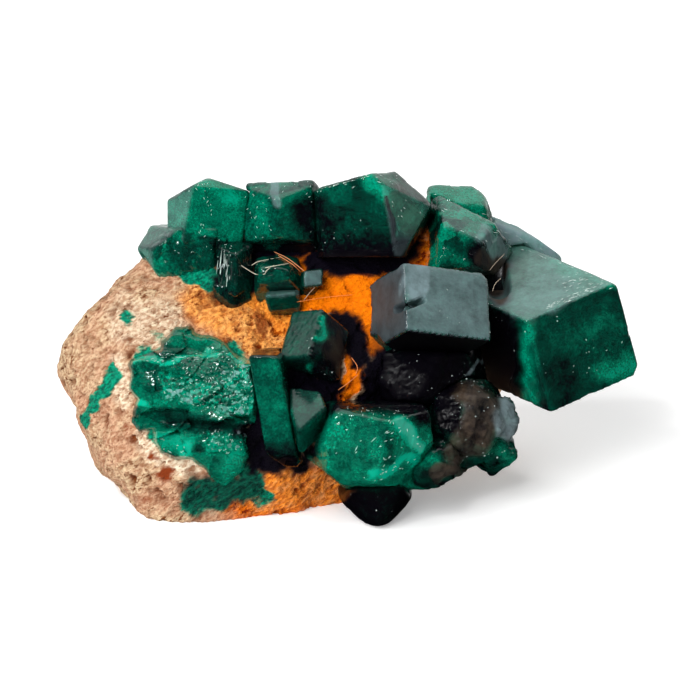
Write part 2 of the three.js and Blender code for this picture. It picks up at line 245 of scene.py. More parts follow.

# Brighter and darker places painted into the crystals, in front-view millimetres: path, width, brightness.
# Some are the crystals' own clear and cloudy depths, many are painted shade in gaps, crevices and undersides,
# and some a painted glow where light shines through.
TONES_AND_SHADE = {
    "right_crystal": (
        (((14.2, -1.2), (14.8, -3.4)), 1.4, 0.12),
        (((15.0, 0.6), (17.6, 2.2)), 1.2, 0.42),
        # Painted glow: a brighter patch where light shines through the crystal.
        (((17.6, -1.4), (19.4, -1.2)), 1.1, 0.75),
        (((12.0, 1.4), (12.2, -3.8)), 0.9, 0.72),
        # Painted shade: the left face darker where it lies in shadow, and the crevice beside the centre
        # crystal near black.
        (((9.5, 1.5), (10.6, -3.0)), 1.4, -0.2),
        (((9.9, 6.2), (10.2, 4.0)), 1.0, -0.3),
        (((14.5, 5.8), (17.5, 4.8)), 1.0, 0.75),
    ),
    "top_crystal": (
        # Painted shade: the lower half darker and the underside near black where it lies in shadow.
        (((-1.5, 6.6), (4.2, 6.6)), 1.8, -0.1),
        (((-1.8, 5.8), (4.2, 5.7)), 0.9, -0.4),
        (((-2.2, 9.6), (-1.8, 8.0)), 0.8, 0.0),
        (((1.4, 11.6), (2.4, 11.0)), 1.0, 0.75),
        (((2.3, 10.6), (2.7, 9.0), (3.1, 7.4)), 0.25, -0.2),
    ),
    "top_left_crystals": (
        (((-9.8, 11.2), (-8.0, 10.4)), 0.8, 0.75),
        (((-11.6, 6.2), (-9.0, 6.8)), 1.6, 0.3),
        (((-11.0, 4.6), (-9.4, 4.8)), 0.7, 0.65),
        (((-10.0, 7.7), (-7.6, 7.1)), 0.2, 0.1),
        # Painted shade in the gap under the main crystal.
        (((-9.0, 7.0), (-7.8, 6.2)), 0.6, -0.2),
    ),
    "top_middle_crystal": (
        (((-6.4, 10.2), (-6.0, 8.0)), 0.9, 0.5),
        (((-3.0, 9.8), (-2.2, 7.2)), 1.1, 0.0),
        # Painted shade along the crystal's shadowed lower edge.
        (((-6.6, 6.7), (-3.0, 6.6)), 0.8, -0.2),
    ),
    "slab_crystal": (
        # Painted shade at the slab's lower end.
        (((-6.6, -7.0), (-3.8, -7.6)), 1.3, -0.1),
        (((-6.8, 0.1), (-4.8, 0.1)), 0.7, -0.1),
    ),
    "bottom_crystal": (
        # Painted shade: the left rim and the top darker where they fade into the shadow round the crystal.
        (((-2.0, -4.0), (-2.9, -5.4), (-2.9, -7.0)), 0.7, -0.1),
        (((-1.0, -3.4), (4.8, -3.6), (5.0, -4.6)), 0.8, -0.1),
        (((2.3, -5.4), (2.7, -7.2)), 0.4, 0.35),
        (((3.3, -4.9), (4.6, -6.2)), 0.7, 1.2),
        (((1.4, -8.5), (4.4, -7.3)), 0.6, 1.1),
    ),
    "dark_crystal": (
        (((-1.9, 2.4), (-2.1, 0.7)), 0.45, 0.9),
        (((-2.5, -1.1), (-2.3, -1.2)), 0.3, 0.9),
        (((-0.9, 1.8), (-0.5, 0.2), (-1.4, -1.4)), 1.0, -0.1),
    ),
    CRUST: (
        (((-12.8, -1.1), (-8.8, -1.5)), 0.6, 0.42),
        (((-12.2, 1.0), (-10.6, 0.8), (-8.6, 0.3)), 0.9, 0.58),
        # Painted shade: the shadow under the overhang and the gap by the slab.
        (((-12.0, -4.6), (-8.2, -4.9)), 0.5, 0.1),
        (((-7.6, -5.4), (-6.6, -5.2)), 0.6, -0.3),
        (((-14.3, -0.8), (-10.8, -0.45), (-9.3, -0.4), (-8.2, -0.15)), 0.25, 1.1),
        (((-12.9, -5.8), (-11.3, -6.6)), 1.1, 0.85),
        (((-11.3, -6.9), (-11.1, -7.0)), 0.4, 1.3),
        (((-13.9, -3.5), (-13.7, -3.6)), 0.35, 1.2),
        (((-7.3, -1.2), (-7.2, -1.4)), 0.45, 1.1),
        (((-9.0, -6.4), (-7.6, -6.4), (-8.2, -8.2)), 1.1, 0.75),
    ),
    "lower_right_crystals": (
        (((9.6, -6.6), (10.8, -7.4)), 0.9, 0.55),
        (((4.2, -6.8), (5.6, -7.6)), 0.9, 0.6),
        (((6.4, -2.8), (6.8, -5.0)), 1.3, -0.15),
    ),
    "top_right_crystal": (
        (((6.4, 6.6), (7.4, 6.0)), 0.9, 0.5),
        (((8.5, 6.8), (9.3, 5.9)), 0.8, -0.1),
        # Painted shade in the crevice beside the centre and right crystals.
        (((9.3, 5.8), (10.2, 5.2), (10.4, 4.6)), 1.0, -0.3),
    ),
}

# Brown dirt on the crystals, and painted shade in the crevice between the centre, right and top right
# crystals: path, width, strength.
GRIME_AND_SHADE = {
    "right_crystal": (
        (((11.4, 6.6), (11.5, 5.0), (10.8, 3.7)), 0.7, 0.25),
        # Painted shade: the crevice beside the centre crystal darkened with the dirt colour.
        (((9.9, 6.2), (10.2, 4.0)), 0.9, 0.95),
    ),
    "top_right_crystal": (
        # Painted shade in the same crevice.
        (((9.3, 5.8), (10.2, 5.2), (10.4, 4.6)), 1.0, 0.6),
    ),
    "lower_right_crystals": (
        (((8.0, -2.8), (9.0, -3.8), (8.8, -5.4)), 1.4, 0.9),
        (((8.8, -5.8), (7.4, -6.8)), 1.3, 0.6),
        (((10.2, -3.8), (10.6, -5.6)), 0.9, 0.3),
        (((5.6, -8.4), (7.2, -8.2)), 0.7, 0.8),
    ),
    "dark_crystal": (
        (((-1.2, 0.4), (-0.2, -1.4)), 0.9, 0.45),
    ),
    "top_crystal": (
        (((3.0, 10.2), (4.6, 8.6)), 1.2, 0.3),
    ),
}

# Grey film on the crystals, and a painted grey sheen with a few painted glints where their faces mirror the
# bright sky: path, width, strength.
FILM_AND_SHEEN = {
    "centre_crystal": (
        (((4.5, 5.4), (4.5, 4.1)), 1.1, 0.8),
    ),
    "right_crystal": (
        (((11.8, 3.4), (14.0, 4.4)), 1.8, 0.45),
    ),
    "bottom_crystal": (
        (((3.3, -4.9), (4.6, -6.2)), 0.5, 0.15),
    ),
    "lower_right_crystals": (
        (((10.2, -3.8), (10.6, -5.6)), 0.9, 0.8),
        (((8.4, -3.4), (9.0, -4.8)), 1.2, 0.12),
    ),
    "top_middle_crystal": (
        (((-5.0, 11.0), (-4.9, 9.8)), 0.6, 0.5),
    ),
    "right_rear_crystal": (
        (((8.0, 9.4), (15.0, 6.0)), 2.6, 1.0),
    ),
    "top_right_crystal": (
        (((9.0, 7.9), (10.3, 6.7)), 0.8, 0.45),
    ),
    "lower_centre_crystals": (
        (((7.4, -1.8), (9.0, -0.4)), 0.16, 0.5),
    ),
    "small_crystal_low": (
        (((-5.5, 3.9), (-3.4, 4.0)), 0.6, 0.3),
    ),
}

# Dents in the crystals: path, width, depth.
DENTS = {
    "centre_crystal": (
        (((3.3, 2.7), (4.8, 3.3)), 0.26, 1.2),
    ),
    "right_crystal": (
        (((9.8, 6.2), (10.1, 4.2)), 0.9, 1.2),
    ),
}

# A corner or an underside that a crystal lacks: a point of the face that cuts it off, in the front
# view, and the way that face looks.
TRIMS = {
    "right_rear_crystal": (((12.9, 7.7, 0.0), (0.58, 0.81, 0.0)),),
    "top_crystal": (((1.0, 6.3, 0.0), (0.0, -1.0, 0.0)),),
}

# Where a crystal that is otherwise smooth is broken into facets: path, width, share.
ROUGH = {
    "top_left_crystals": (
        (((-11.8, 6.4), (-9.0, 6.4)), 1.9, 1.0),
        (((-11.0, 4.8), (-9.2, 5.0)), 1.2, 1.0),
    ),
}

# Lint fibres caught on the crystals, as points in the front view, and how ochre each is.
FIBRES = (
    (0.0, ((-6.70, 5.74, 2.9), (-6.15, 6.02, 3.0), (-4.72, 6.29, 2.6))),
    (0.0, ((-6.43, 5.40, 3.1), (-5.47, 5.61, 4.4), (-4.10, 5.88, 3.5))),
    (0.0, ((-7.38, 5.74, 3.8), (-6.97, 5.47, 3.6), (-6.36, 5.13, 3.6), (-5.81, 5.13, 4.5), (-5.61, 5.40, 4.4),
           (-5.13, 5.74, 4.2))),
    (0.7, ((-5.20, 6.70, 1.7), (-4.20, 6.20, 2.9), (-3.08, 5.33, 3.9))),
    (0.8, ((-4.90, 6.45, 2.3), (-3.90, 5.80, 3.6), (-3.30, 5.25, 3.1))),
    (0.2, ((-3.15, 3.35, 3.0), (-2.60, 4.03, 3.5), (-1.98, 4.58, 4.1))),
    (0.9, ((-3.60, 3.25, 3.9), (-1.80, 3.55, 3.5), (0.20, 3.75, 3.3))),
    (0.8, ((0.10, -0.50, 5.7), (0.50, -1.20, 6.1), (0.20, -2.00, 6.0))),
    (0.8, ((0.60, -1.60, 6.0), (-0.10, -2.20, 6.5), (-0.80, -2.70, 6.4))),
    (0.1, ((9.70, 4.00, 1.3), (9.90, 4.50, 1.0), (10.30, 4.90, 0.5))),
    (0.1, ((9.50, 5.40, 1.2), (9.90, 5.90, 0.6), (10.60, 6.60, -0.9))),
)

# Dust specks on the crystals: path in the front view, width, and how many lie along it.
DUST = (
    (((9.6, 2.6), (11.0, -2.6)), 1.0, 12),
    (((2.0, -1.0), (8.6, -1.6)), 1.6, 22),
    (((5.6, -3.4), (7.4, -6.4)), 1.2, 16),
    (((7.4, -3.0), (9.6, -6.0)), 1.6, 40),
    (((1.0, -9.6), (3.0, -10.4)), 1.4, 8),
    (((13.4, 0.0), (17.6, 0.6)), 2.4, 7),
    (((-2.0, 0.6), (-0.6, -2.6)), 1.2, 10),
    (((-4.4, 7.4), (0.6, 7.0)), 1.4, 12),
    (((-11.0, 10.4), (-7.4, 10.0)), 1.4, 6),
    (((-1.0, 9.6), (5.0, 9.8)), 2.0, 8),
    (((6.0, 7.0), (8.8, 5.4)), 1.2, 12),
)
DUST_SIZES = (0.012, 0.05)  # radius of a speck
DUST_STRETCH = (0.4, 1.9)  # least and greatest
DUST_SEED = 7

# Pale slivers where the crystals are chipped, which also stand as painted glints: path in the front view,
# width, count, greatest length, direction in degrees up from the right, and how far each strays from it.
SLIVERS = (
    (((14.8, 4.5), (17.6, 4.8)), 0.8, 45, 0.6, 15, 15),
    (((13.5, 2.9), (16.4, 4.1)), 0.22, 60, 0.45, 24, 8),
    (((12.0, 7.4), (15.4, 6.2)), 0.7, 12, 0.8, -24, 10),
    (((14.0, -1.0), (17.6, 1.4)), 1.8, 10, 0.2, 60, 40),
    (((9.4, 8.8), (13.4, 7.2)), 0.7, 16, 0.8, -24, 10),
    (((5.6, 9.4), (9.4, 7.4)), 0.7, 14, 0.5, -28, 15),
    (((4.0, 5.0), (6.8, 2.4)), 1.4, 8, 0.2, 70, 40),
    (((-8.75, 6.0), (-8.4, 4.6)), 0.4, 18, 1.5, 86, 2),
    (((-9.8, 11.0), (-8.0, 11.0)), 0.8, 12, 0.3, 40, 40),
    (((-9.7, 9.6), (-9.9, 7.2)), 0.5, 10, 0.3, 80, 25),
    (((-11.4, 6.6), (-9.0, 6.6)), 1.4, 26, 0.22, 30, 40),
    (((-6.4, 10.4), (-6.0, 8.2)), 0.8, 20, 0.35, 110, 30),
    (((-4.8, 10.6), (-2.6, 11.0)), 0.8, 12, 0.35, 60, 30),
    (((-1.0, 11.6), (2.6, 11.9)), 0.8, 12, 0.4, 10, 20),
    (((2.8, 10.4), (4.4, 9.0)), 0.8, 8, 0.3, -40, 30),
    (((-0.6, -6.9), (2.6, -5.6)), 0.5, 10, 0.6, 32, 15),
    (((3.2, -4.9), (4.6, -6.6), (2.0, -8.0)), 0.8, 45, 0.4, 50, 40),
    (((0.2, -3.8), (2.8, -4.0)), 0.6, 16, 0.25, 120, 30),
    (((-11.2, -2.6), (-7.4, -3.0)), 1.2, 110, 0.3, 30, 40),
    (((-9.0, -1.8), (-7.4, -1.8)), 0.9, 50, 0.3, -50, 40),
    (((-9.0, -6.0), (-7.8, -6.4)), 0.8, 30, 0.3, 70, 30),
    (((-14.0, -0.6), (-8.4, -0.3)), 0.3, 30, 0.5, 6, 15),
    (((-13.2, -6.0), (-11.2, -6.9)), 0.5, 12, 0.3, -30, 30),
)
SLIVER_WIDTH = 0.04
SLIVER_SEED = 11
SPECK = np.array(((1, 0, 0), (-1, 0, 0), (0, 1, 0), (0, -1, 0), (0, 0, 1), (0, 0, -1)), float)
SPECK_FACES = np.array((
    (0, 2, 4), (2, 1, 4), (1, 3, 4), (3, 0, 4), (2, 0, 5), (1, 2, 5), (3, 1, 5), (0, 3, 5)))

# Surfaces: how a ray bends in them and how rough they are.
ROCK_IOR = 1.5
DIOPTASE_IOR = 1.66
CLEARNESS = 0.5  # share of the light that passes into a crystal
ABSORPTION = 1500.0  # per metre
VEIL_SHARE = 0.95  # how much the cloudy veils change a crystal's brightness
SPECKLE_SHARE = 0.6  # and the fine specks in it
CRACKED_ROUGHNESS = 0.7
CLEAR_ROUGHNESS = 0.1
BROKEN_ROUGHNESS = 0.14
SMALL_ROUGHNESS = 0.12
DUST_ROUGHNESS = 0.6
CHIP_ROUGHNESS = 0.3

# The stage: half the floor's width in metres, its glow, and the brightness of the paper behind.
FLOOR_HALF = 0.5
FLOOR_GLOW = 0.3
SKY_STRENGTH = 0.87
SKY_BEHIND = (0.0, 0.8, 0.6)  # the way from the specimen to the paper
# Studio lights: place in the front view, watts, width, and whether crystal faces mirror them.
LIGHTS = {
    "front fill": ((-130.0, 90.0, 260.0), 1.35, 250.0, False),
    "key light": ((-170.0, 240.0, 190.0), 0.22, 32.0, True),
    "edge light": ((210.0, 200.0, 60.0), 0.12, 26.0, False),
}
# A white card at the left that only the crystal faces mirror: place in the front view, watts, width.
LEFT_CARD = ((-325.0, 10.0, -130.0), 0.06, 200.0)

# Multipliers that turn the place of a cell of space into three scattered numbers.
SCATTER_STEPS = np.array(((127.1, 269.5, 419.2), (311.7, 183.3, 371.9), (74.7, 246.1, 128.3)))
SCATTER_SCALE = 43758.5453


def linear(colour):
    """An sRGB hex colour such as "#0A6B55" as linear red, green and blue."""
    parts = np.array([int(colour[i:i + 2], 16) for i in (1, 3, 5)]) / 255
    return tuple(np.where(parts <= 0.04045, parts / 12.92, ((parts + 0.055) / 1.055) ** 2.4))


def part_of(view):
    """Front-view millimetres as metres in the part's frame."""
    return (np.asarray(view, float) @ VIEW_AXES + VIEW_CENTRE) * MM


def view_of(part):
    """Metres in the part's frame as front-view millimetres."""
    return (np.asarray(part, float) / MM - VIEW_CENTRE) @ VIEW_AXES.T


def scatter(cells, steps=SCATTER_STEPS):
    """Random numbers from 0 to 1 for each cell of space, one for each column of the steps."""
    mixed = np.sin(cells @ steps) * SCATTER_SCALE
    return mixed - np.floor(mixed)


def noise(points):
    """Smooth noise from -1 to 1: a random value at each corner of a unit grid, eased between them."""
    cell = np.floor(points)
    ease = points - cell
    ease = ease * ease * (3 - 2 * ease)
    total = np.zeros(len(points))
    for corner in itertools.product((0, 1), repeat=3):
        share = np.prod(np.where(corner, ease, 1 - ease), axis=1)
        total += share * (2 * scatter(cell + corner, SCATTER_STEPS[:, 0]) - 1)
    return total


def wander(points, spacing):
    """Three independent noises at each point, for moving points about."""
    return np.stack([noise(points / spacing + shift) for shift in (2.1, 14.7, 21.3)], axis=-1)


def step(low, high, values):
    """0 below low, 1 above high, and an eased ramp between."""
    t = np.clip((values - low) / (high - low), 0, 1)
    return t * t * (3 - 2 * t)


def facing(turn, lift):
    """Unit vectors, in the view's frame, that look `turn` degrees right of the viewer and `lift` up."""
    turn, lift = np.radians(turn), np.radians(lift)
    return np.stack((np.sin(turn) * np.cos(lift), np.sin(lift), np.cos(turn) * np.cos(lift)), axis=-1)


def facets(points):
    """Broken crystal relief from about -1 to 1, and a brightness from 0 to 1 that paints a facet's sparkle.

    Space is split into cells about one unit wide round scattered seeds, and each cell is a flat facet
    with its own tilt and level, and a painted brightness taken from its tilt.
    """
    home = np.floor(points)
    nearest = np.full(len(points), np.inf)
    height = np.zeros(len(points))
    shine = np.zeros(len(points))
    for shift in itertools.product((-1, 0, 1), repeat=3):
        cell = home + shift
        away = points - cell - scatter(cell)
        distance = (away ** 2).sum(axis=1)
        closer = distance < nearest
        tilt = 2 * scatter(cell[closer] + 31.7) - 1
        height[closer] = (away[closer] * tilt).sum(axis=1) + 0.5 * tilt[:, 0]
        shine[closer] = 0.5 + 0.5 * tilt[:, 2]
        nearest = np.minimum(nearest, distance)
    return height, shine


def least_distance(points, starts, ends):
    """Distance from each point to the nearest of several straight stretches in the front view."""
    best = np.full(len(points), np.inf)
    for start, end in zip(starts, ends):
        along = end - start
        t = np.clip((points - start) @ along / (along @ along), 0, 1)
        best = np.minimum(best, np.linalg.norm(points - start - t[:, None] * along, axis=1))
    return best


def near_path(points, path, width, core=0.5):
    """1 within `core` of `width` from a path in the front view, fading to 0 at `width`."""
    path = np.asarray(path, float)
    return 1 - step(core * width, width, least_distance(points[:, :2], path[:-1], path[1:]))


def strokes(points, table):
    """The strongest of several brush strokes, each a path in the front view, a width and a strength."""
    return np.maximum.reduce([np.zeros(len(points))] + [
        strength * near_path(points, path, width) for path, width, strength in table])


def depth_inside(points, outline):
    """Distance from each point to a closed outline: positive inside it, negative outside.

    A point is inside where a line drawn from it to the right crosses the outline an odd number of times.
    """
    ends = np.roll(outline, -1, axis=0)
    best = least_distance(points, outline, ends)
    crossings = np.zeros(len(points), int)
    for start, end in zip(outline, ends):
        along = end - start
        spans = (start[1] > points[:, 1]) != (end[1] > points[:, 1])
        rise = along[1] if along[1] else 1e-9
        crossings += spans & (points[:, 0] < start[0] + along[0] * (points[:, 1] - start[1]) / rise)
    return np.where(crossings % 2 == 1, best, -best)


def paint(mesh, name, values):
    """Stores one number for each vertex, for a material to read."""
    mesh.attributes.new(name, "FLOAT", "POINT").data.foreach_set("value", values)


def vertex_data(mesh):
    """Places and outward directions of a mesh's vertices."""
    at = np.empty(len(mesh.vertices) * 3, np.float32)
    mesh.vertices.foreach_get("co", at)
    normals = np.empty(len(mesh.vertices) * 3, np.float32)
    mesh.vertex_normals.foreach_get("vector", normals)
    return at.reshape(-1, 3).astype(float), normals.reshape(-1, 3).astype(float)


def new_piece(name, mesh, material, node):
    """Links a finished mesh as a piece that rides on the part and stands for a CAD node, if any."""
    mesh.materials.append(material)
    piece = bpy.data.objects.new(name, mesh)
    bpy.context.scene.collection.objects.link(piece)
    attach(piece, "root")
    if node:
        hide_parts(node)
    return piece


def add(tree, kind, inputs=None, **settings):
    """Adds a node with its settings; each input takes a number or links from another node's output."""
    node = tree.nodes.new(kind)
    for key, value in settings.items():
        setattr(node, key, value)
    for key, value in (inputs or {}).items():
        if isinstance(value, bpy.types.NodeSocket):
            tree.links.new(value, node.inputs[key])
        else:
            node.inputs[key].default_value = value
    return node


def new_material(name):
    """An empty node material and its node tree."""
    material = bpy.data.materials.new(name)
    material.use_nodes = True
    material.node_tree.nodes.clear()
    return material, material.node_tree


def quads_between(index, beside):
    """Quads of a grid of vertices: each joins a vertex, the one beside it and those two a row further."""
    return np.stack((index[:-1], beside[:-1], beside[1:], index[1:]), axis=-1).reshape(-1, 4)


def rock_radius(rays):
    """Distance from the rock's heart to its surface along each ray, without grains or pits.

    A soft minimum of the distances to the broken faces, plus lumps and knobs.
    """
    normals = facing(ROCK_FACES[:, 0], ROCK_FACES[:, 1])
    closeness = np.maximum(0, rays @ normals.T / ROCK_FACES[:, 2])
    smooth = (closeness ** ROCK_ROUNDING).sum(axis=1) ** (-1 / ROCK_ROUNDING)
    at = ROCK_HEART + rays * smooth[:, None]
    return smooth + sum(height * noise(at / spacing) for spacing, height in LUMPS)


def rock_front(x, y):
    """Depth of the rock's displayed side behind points of the front view, found by stepping along
    the view until the point lies on the rock's surface."""
    across = np.stack((x, y), axis=-1) - ROCK_HEART[:2]
    depth = np.full(len(x), SEARCH_DEPTH)
    for _ in range(SEARCH_STEPS):
        ray = np.column_stack((across, depth))
        radius = rock_radius(ray / np.linalg.norm(ray, axis=1)[:, None])
        depth = 0.5 * depth + 0.5 * np.sqrt(np.maximum(radius ** 2 - (across ** 2).sum(axis=1), 0.04))
    return ROCK_HEART[2] + depth


def rock_grit(at):
    """Height of the sand grains and depth of the pits at points of the rock, in millimetres."""
    look = bpy.context.scene.dioptase
    grain, pit = look.grain_size / MM, look.pit_depth / MM
    crumbs = noise(at / (2.0 * grain) + 7.3) + 0.6 * noise(at / (1.0 * grain) + 3.7)
    sand = 0.25 * grain * noise(at / (0.8 * grain)) + 0.3 * grain * noise(at / (1.7 * grain) + 4.4)
    coarse = step(-0.6, 0.4, noise(at / 3.1 + 1.7))
    holes = step(0.2, 0.8, crumbs) * (0.4 + 0.6 * coarse)
    hollows = step(0.55, 1.0, noise(at / (5 * grain) + 2.9) + 0.5 * crumbs)
    return sand, pit * np.maximum(holes, 1.2 * hollows)


def rock_mesh():
    """The rock as columns round the upright axis and rows from the bottom pole to the top one,
    stopped at the flat base."""
    around = np.linspace(0, 2 * math.pi, ROCK_COLUMNS, endpoint=False)
    around = around - FRONT_CROWDING * np.sin(around)
    height = np.linspace(-math.pi / 2, math.pi / 2, ROCK_ROWS + 1)[1:-1]
    v, u = np.meshgrid(height, around, indexing="ij")
    grid = np.stack((np.sin(u) * np.cos(v), -np.cos(u) * np.cos(v), np.sin(v)), axis=-1).reshape(-1, 3)
    upright = np.vstack((grid, (0, 0, -1), (0, 0, 1)))
    rays = upright @ VIEW_AXES.T
    radius = rock_radius(rays)
    sand, pits = rock_grit(ROCK_HEART + rays * radius[:, None])
    heart_height = ROCK_HEART @ VIEW_AXES[:, 2] + VIEW_CENTRE[2]
    base = np.where(upright[:, 2] < 0, heart_height / np.maximum(-upright[:, 2], 1e-6), np.inf)
    view = ROCK_HEART + rays * np.minimum(radius + sand - pits, base)[:, None]
    index = np.arange(len(grid)).reshape(ROCK_ROWS - 1, ROCK_COLUMNS)
    beside = np.roll(index, -1, axis=1)
    quads = quads_between(index, beside)
    bottom = np.stack((np.full(ROCK_COLUMNS, len(grid)), beside[0], index[0]), axis=-1)
    top = np.stack((np.full(ROCK_COLUMNS, len(grid) + 1), index[-1], beside[-1]), axis=-1)
    mesh = bpy.data.meshes.new("matrix_rock")
    mesh.from_pydata(part_of(view), [], quads.tolist() + bottom.tolist() + top.tolist())
    mesh.shade_smooth()
    paint(mesh, "pit", pits / pits.max())
    moved = view + 0.4 * wander(view, 0.9) + 0.2 * wander(view, 0.35)
    shown = step(*STAIN_AND_SHADE_DEPTH, view[:, 2])
    for name, table in ROCK_STAINS_AND_SHADE.items():
        paint(mesh, name, strokes(moved, table) * shown)
    return mesh


def dense_copy(node, spacing):
    """The CAD node's solid as even quads, `spacing` millimetres wide."""
    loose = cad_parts[node].data.copy()
    shell = bmesh.new()
    shell.from_mesh(loose)
    bmesh.ops.remove_doubles(shell, verts=shell.verts, dist=1e-6)
    shell.to_mesh(loose)
    shell.free()
    holder = bpy.data.objects.new(node + "_holder", loose)
    bpy.context.scene.collection.objects.link(holder)
    even = holder.modifiers.new("Even quads", "REMESH")
    even.mode = "VOXEL"
    even.voxel_size = spacing * MM
    seen = holder.evaluated_get(bpy.context.evaluated_depsgraph_get())
    dense = bpy.data.meshes.new_from_object(seen)
    bpy.data.objects.remove(holder)
    dense.materials.clear()
    dense.name = node
    return dense


def between(mesh, at):
    """The middle of each vertex's neighbours."""
    ends = np.empty(len(mesh.edges) * 2, np.int32)
    mesh.edges.foreach_get("vertices", ends)
    a, b = ends.reshape(-1, 2).T
    count = np.bincount(ends, minlength=len(at))
    sums = [np.bincount(a, at[b, k], len(at)) + np.bincount(b, at[a, k], len(at)) for k in range(3)]
    return np.stack(sums, axis=-1) / count[:, None]


def rooted(view):
    """Points of a crystal with those close to the rock drawn in below its surface."""
    away = view - ROCK_HEART
    distance = np.linalg.norm(away, axis=1)
    rays = away / distance[:, None]
    close = 1 - step(*ROOT_HEIGHTS, distance - rock_radius(rays))
    return view - rays * (ROOT_DEPTH * close)[:, None]


def crystal_mesh(node, style):
    """A crystal grown out to close the clearance and rooted in the rock: its edges rounded and chipped,
    its faces gently wavy, lined, dented or broken into facets, and its missing corners trimmed off."""
    look = bpy.context.scene.dioptase
    mesh = dense_copy(node, style["spacing"])
    at, normals = vertex_data(mesh)
    for _ in range(style["rounding"]):
        at = at + 0.5 * (between(mesh, at) - at)
    # How sharply the surface bends: near 0 on a face and about 1 or more on an edge.
    bend = np.linalg.norm(between(mesh, at) - at, axis=1) / (0.1 * style["spacing"] * MM)
    mm = at / MM
    rise = look.growth / MM + style["wave"] * noise(mm / WAVE_LENGTH)
    for path, width, depth in DENTS.get(node, ()):
        rise = rise - depth * near_path(view_of(at), path, width)
    chips = noise(mm / CHIP_LENGTHS[0] + 5.5) + 0.5 * noise(mm / CHIP_LENGTHS[1])
    rise = rise - look.chip_depth / MM * (step(0.25, 0.9, chips) * step(0.3, 1.2, bend))
    rise = rise + style["lines"] * noise(mm * LINES)
    shine = np.full(len(mm), 0.5)
    if style["broken"]:
        large, shine = facets(mm / style["facet"])
        small, _ = facets(SMALL_FACETS * mm / style["facet"])
        share = strokes(view_of(at), ROUGH[node]) if node in ROUGH else 1.0
        rise = rise + share * style["broken"] * (large + SMALL_FACET_HEIGHT * small)
        shine = 0.5 + share * (shine - 0.5)
    view = rooted(view_of(at + normals * rise[:, None] * MM))
    for point, way in TRIMS.get(node, ()):
        view = view - np.maximum(0, (view - point) @ way)[:, None] * way
    at = part_of(view)
    at[:, 2] = np.maximum(at[:, 2], 0.0)
    mesh.vertices.foreach_set("co", at.astype(np.float32).ravel())
    mesh.shade_smooth()
    mesh.update()
    paint_crystal(mesh, view, normals @ VIEW_AXES.T, node, style["tone"], shine * style["sparkle"])
    return mesh


def paint_crystal(mesh, view, normals, node, tone, shine):
    """Paints how bright a crystal is inside, with painted shade and glow, and, on its displayed side, where
    it is dirty or darkened by painted shade and where a grey film or a painted grey sheen dulls it, and a
    pale film painted on the brightest facets as glints."""
    moved = view + 0.5 * wander(view, 1.1)
    shown = step(-0.2, 0.15, normals[:, 2])
    # Painted sparkle: facets lighter or darker than the crystal's tone, and the brightest given a pale film
    # as painted glints.
    spark = shine - shine.mean()
    level = tone + spark
    film_and_sheen = np.maximum(strokes(moved, FILM_AND_SHEEN.get(node, ())) * shown, FACET_GLINT * step(0.35, 0.5, spark))
    # Painted light and shade: each listed face is made lighter or darker, and given a grey sheen, by the way
    # it looks.
    for turn, lift, value, grey in LIT_AND_SHADED_SIDES.get(node, ()):
        side = step(0.75, 0.93, normals @ facing(turn, lift))
        level = level + side * (value - tone)
        film_and_sheen = np.maximum(film_and_sheen, grey * side)
    for path, width, value in TONES_AND_SHADE.get(node, ()):
        near = near_path(moved, path, PAINT_FADE * width, 0.0)
        level = level + near * (value - level)
    # Dirt, and painted shade where the strokes lie in a crevice.
    grime_and_shade = strokes(moved, GRIME_AND_SHADE.get(node, ())) * shown
    paint(mesh, "tone", level)
    paint(mesh, "film_and_sheen", film_and_sheen * (1 - grime_and_shade))
    paint(mesh, "grime_and_shade", grime_and_shade)


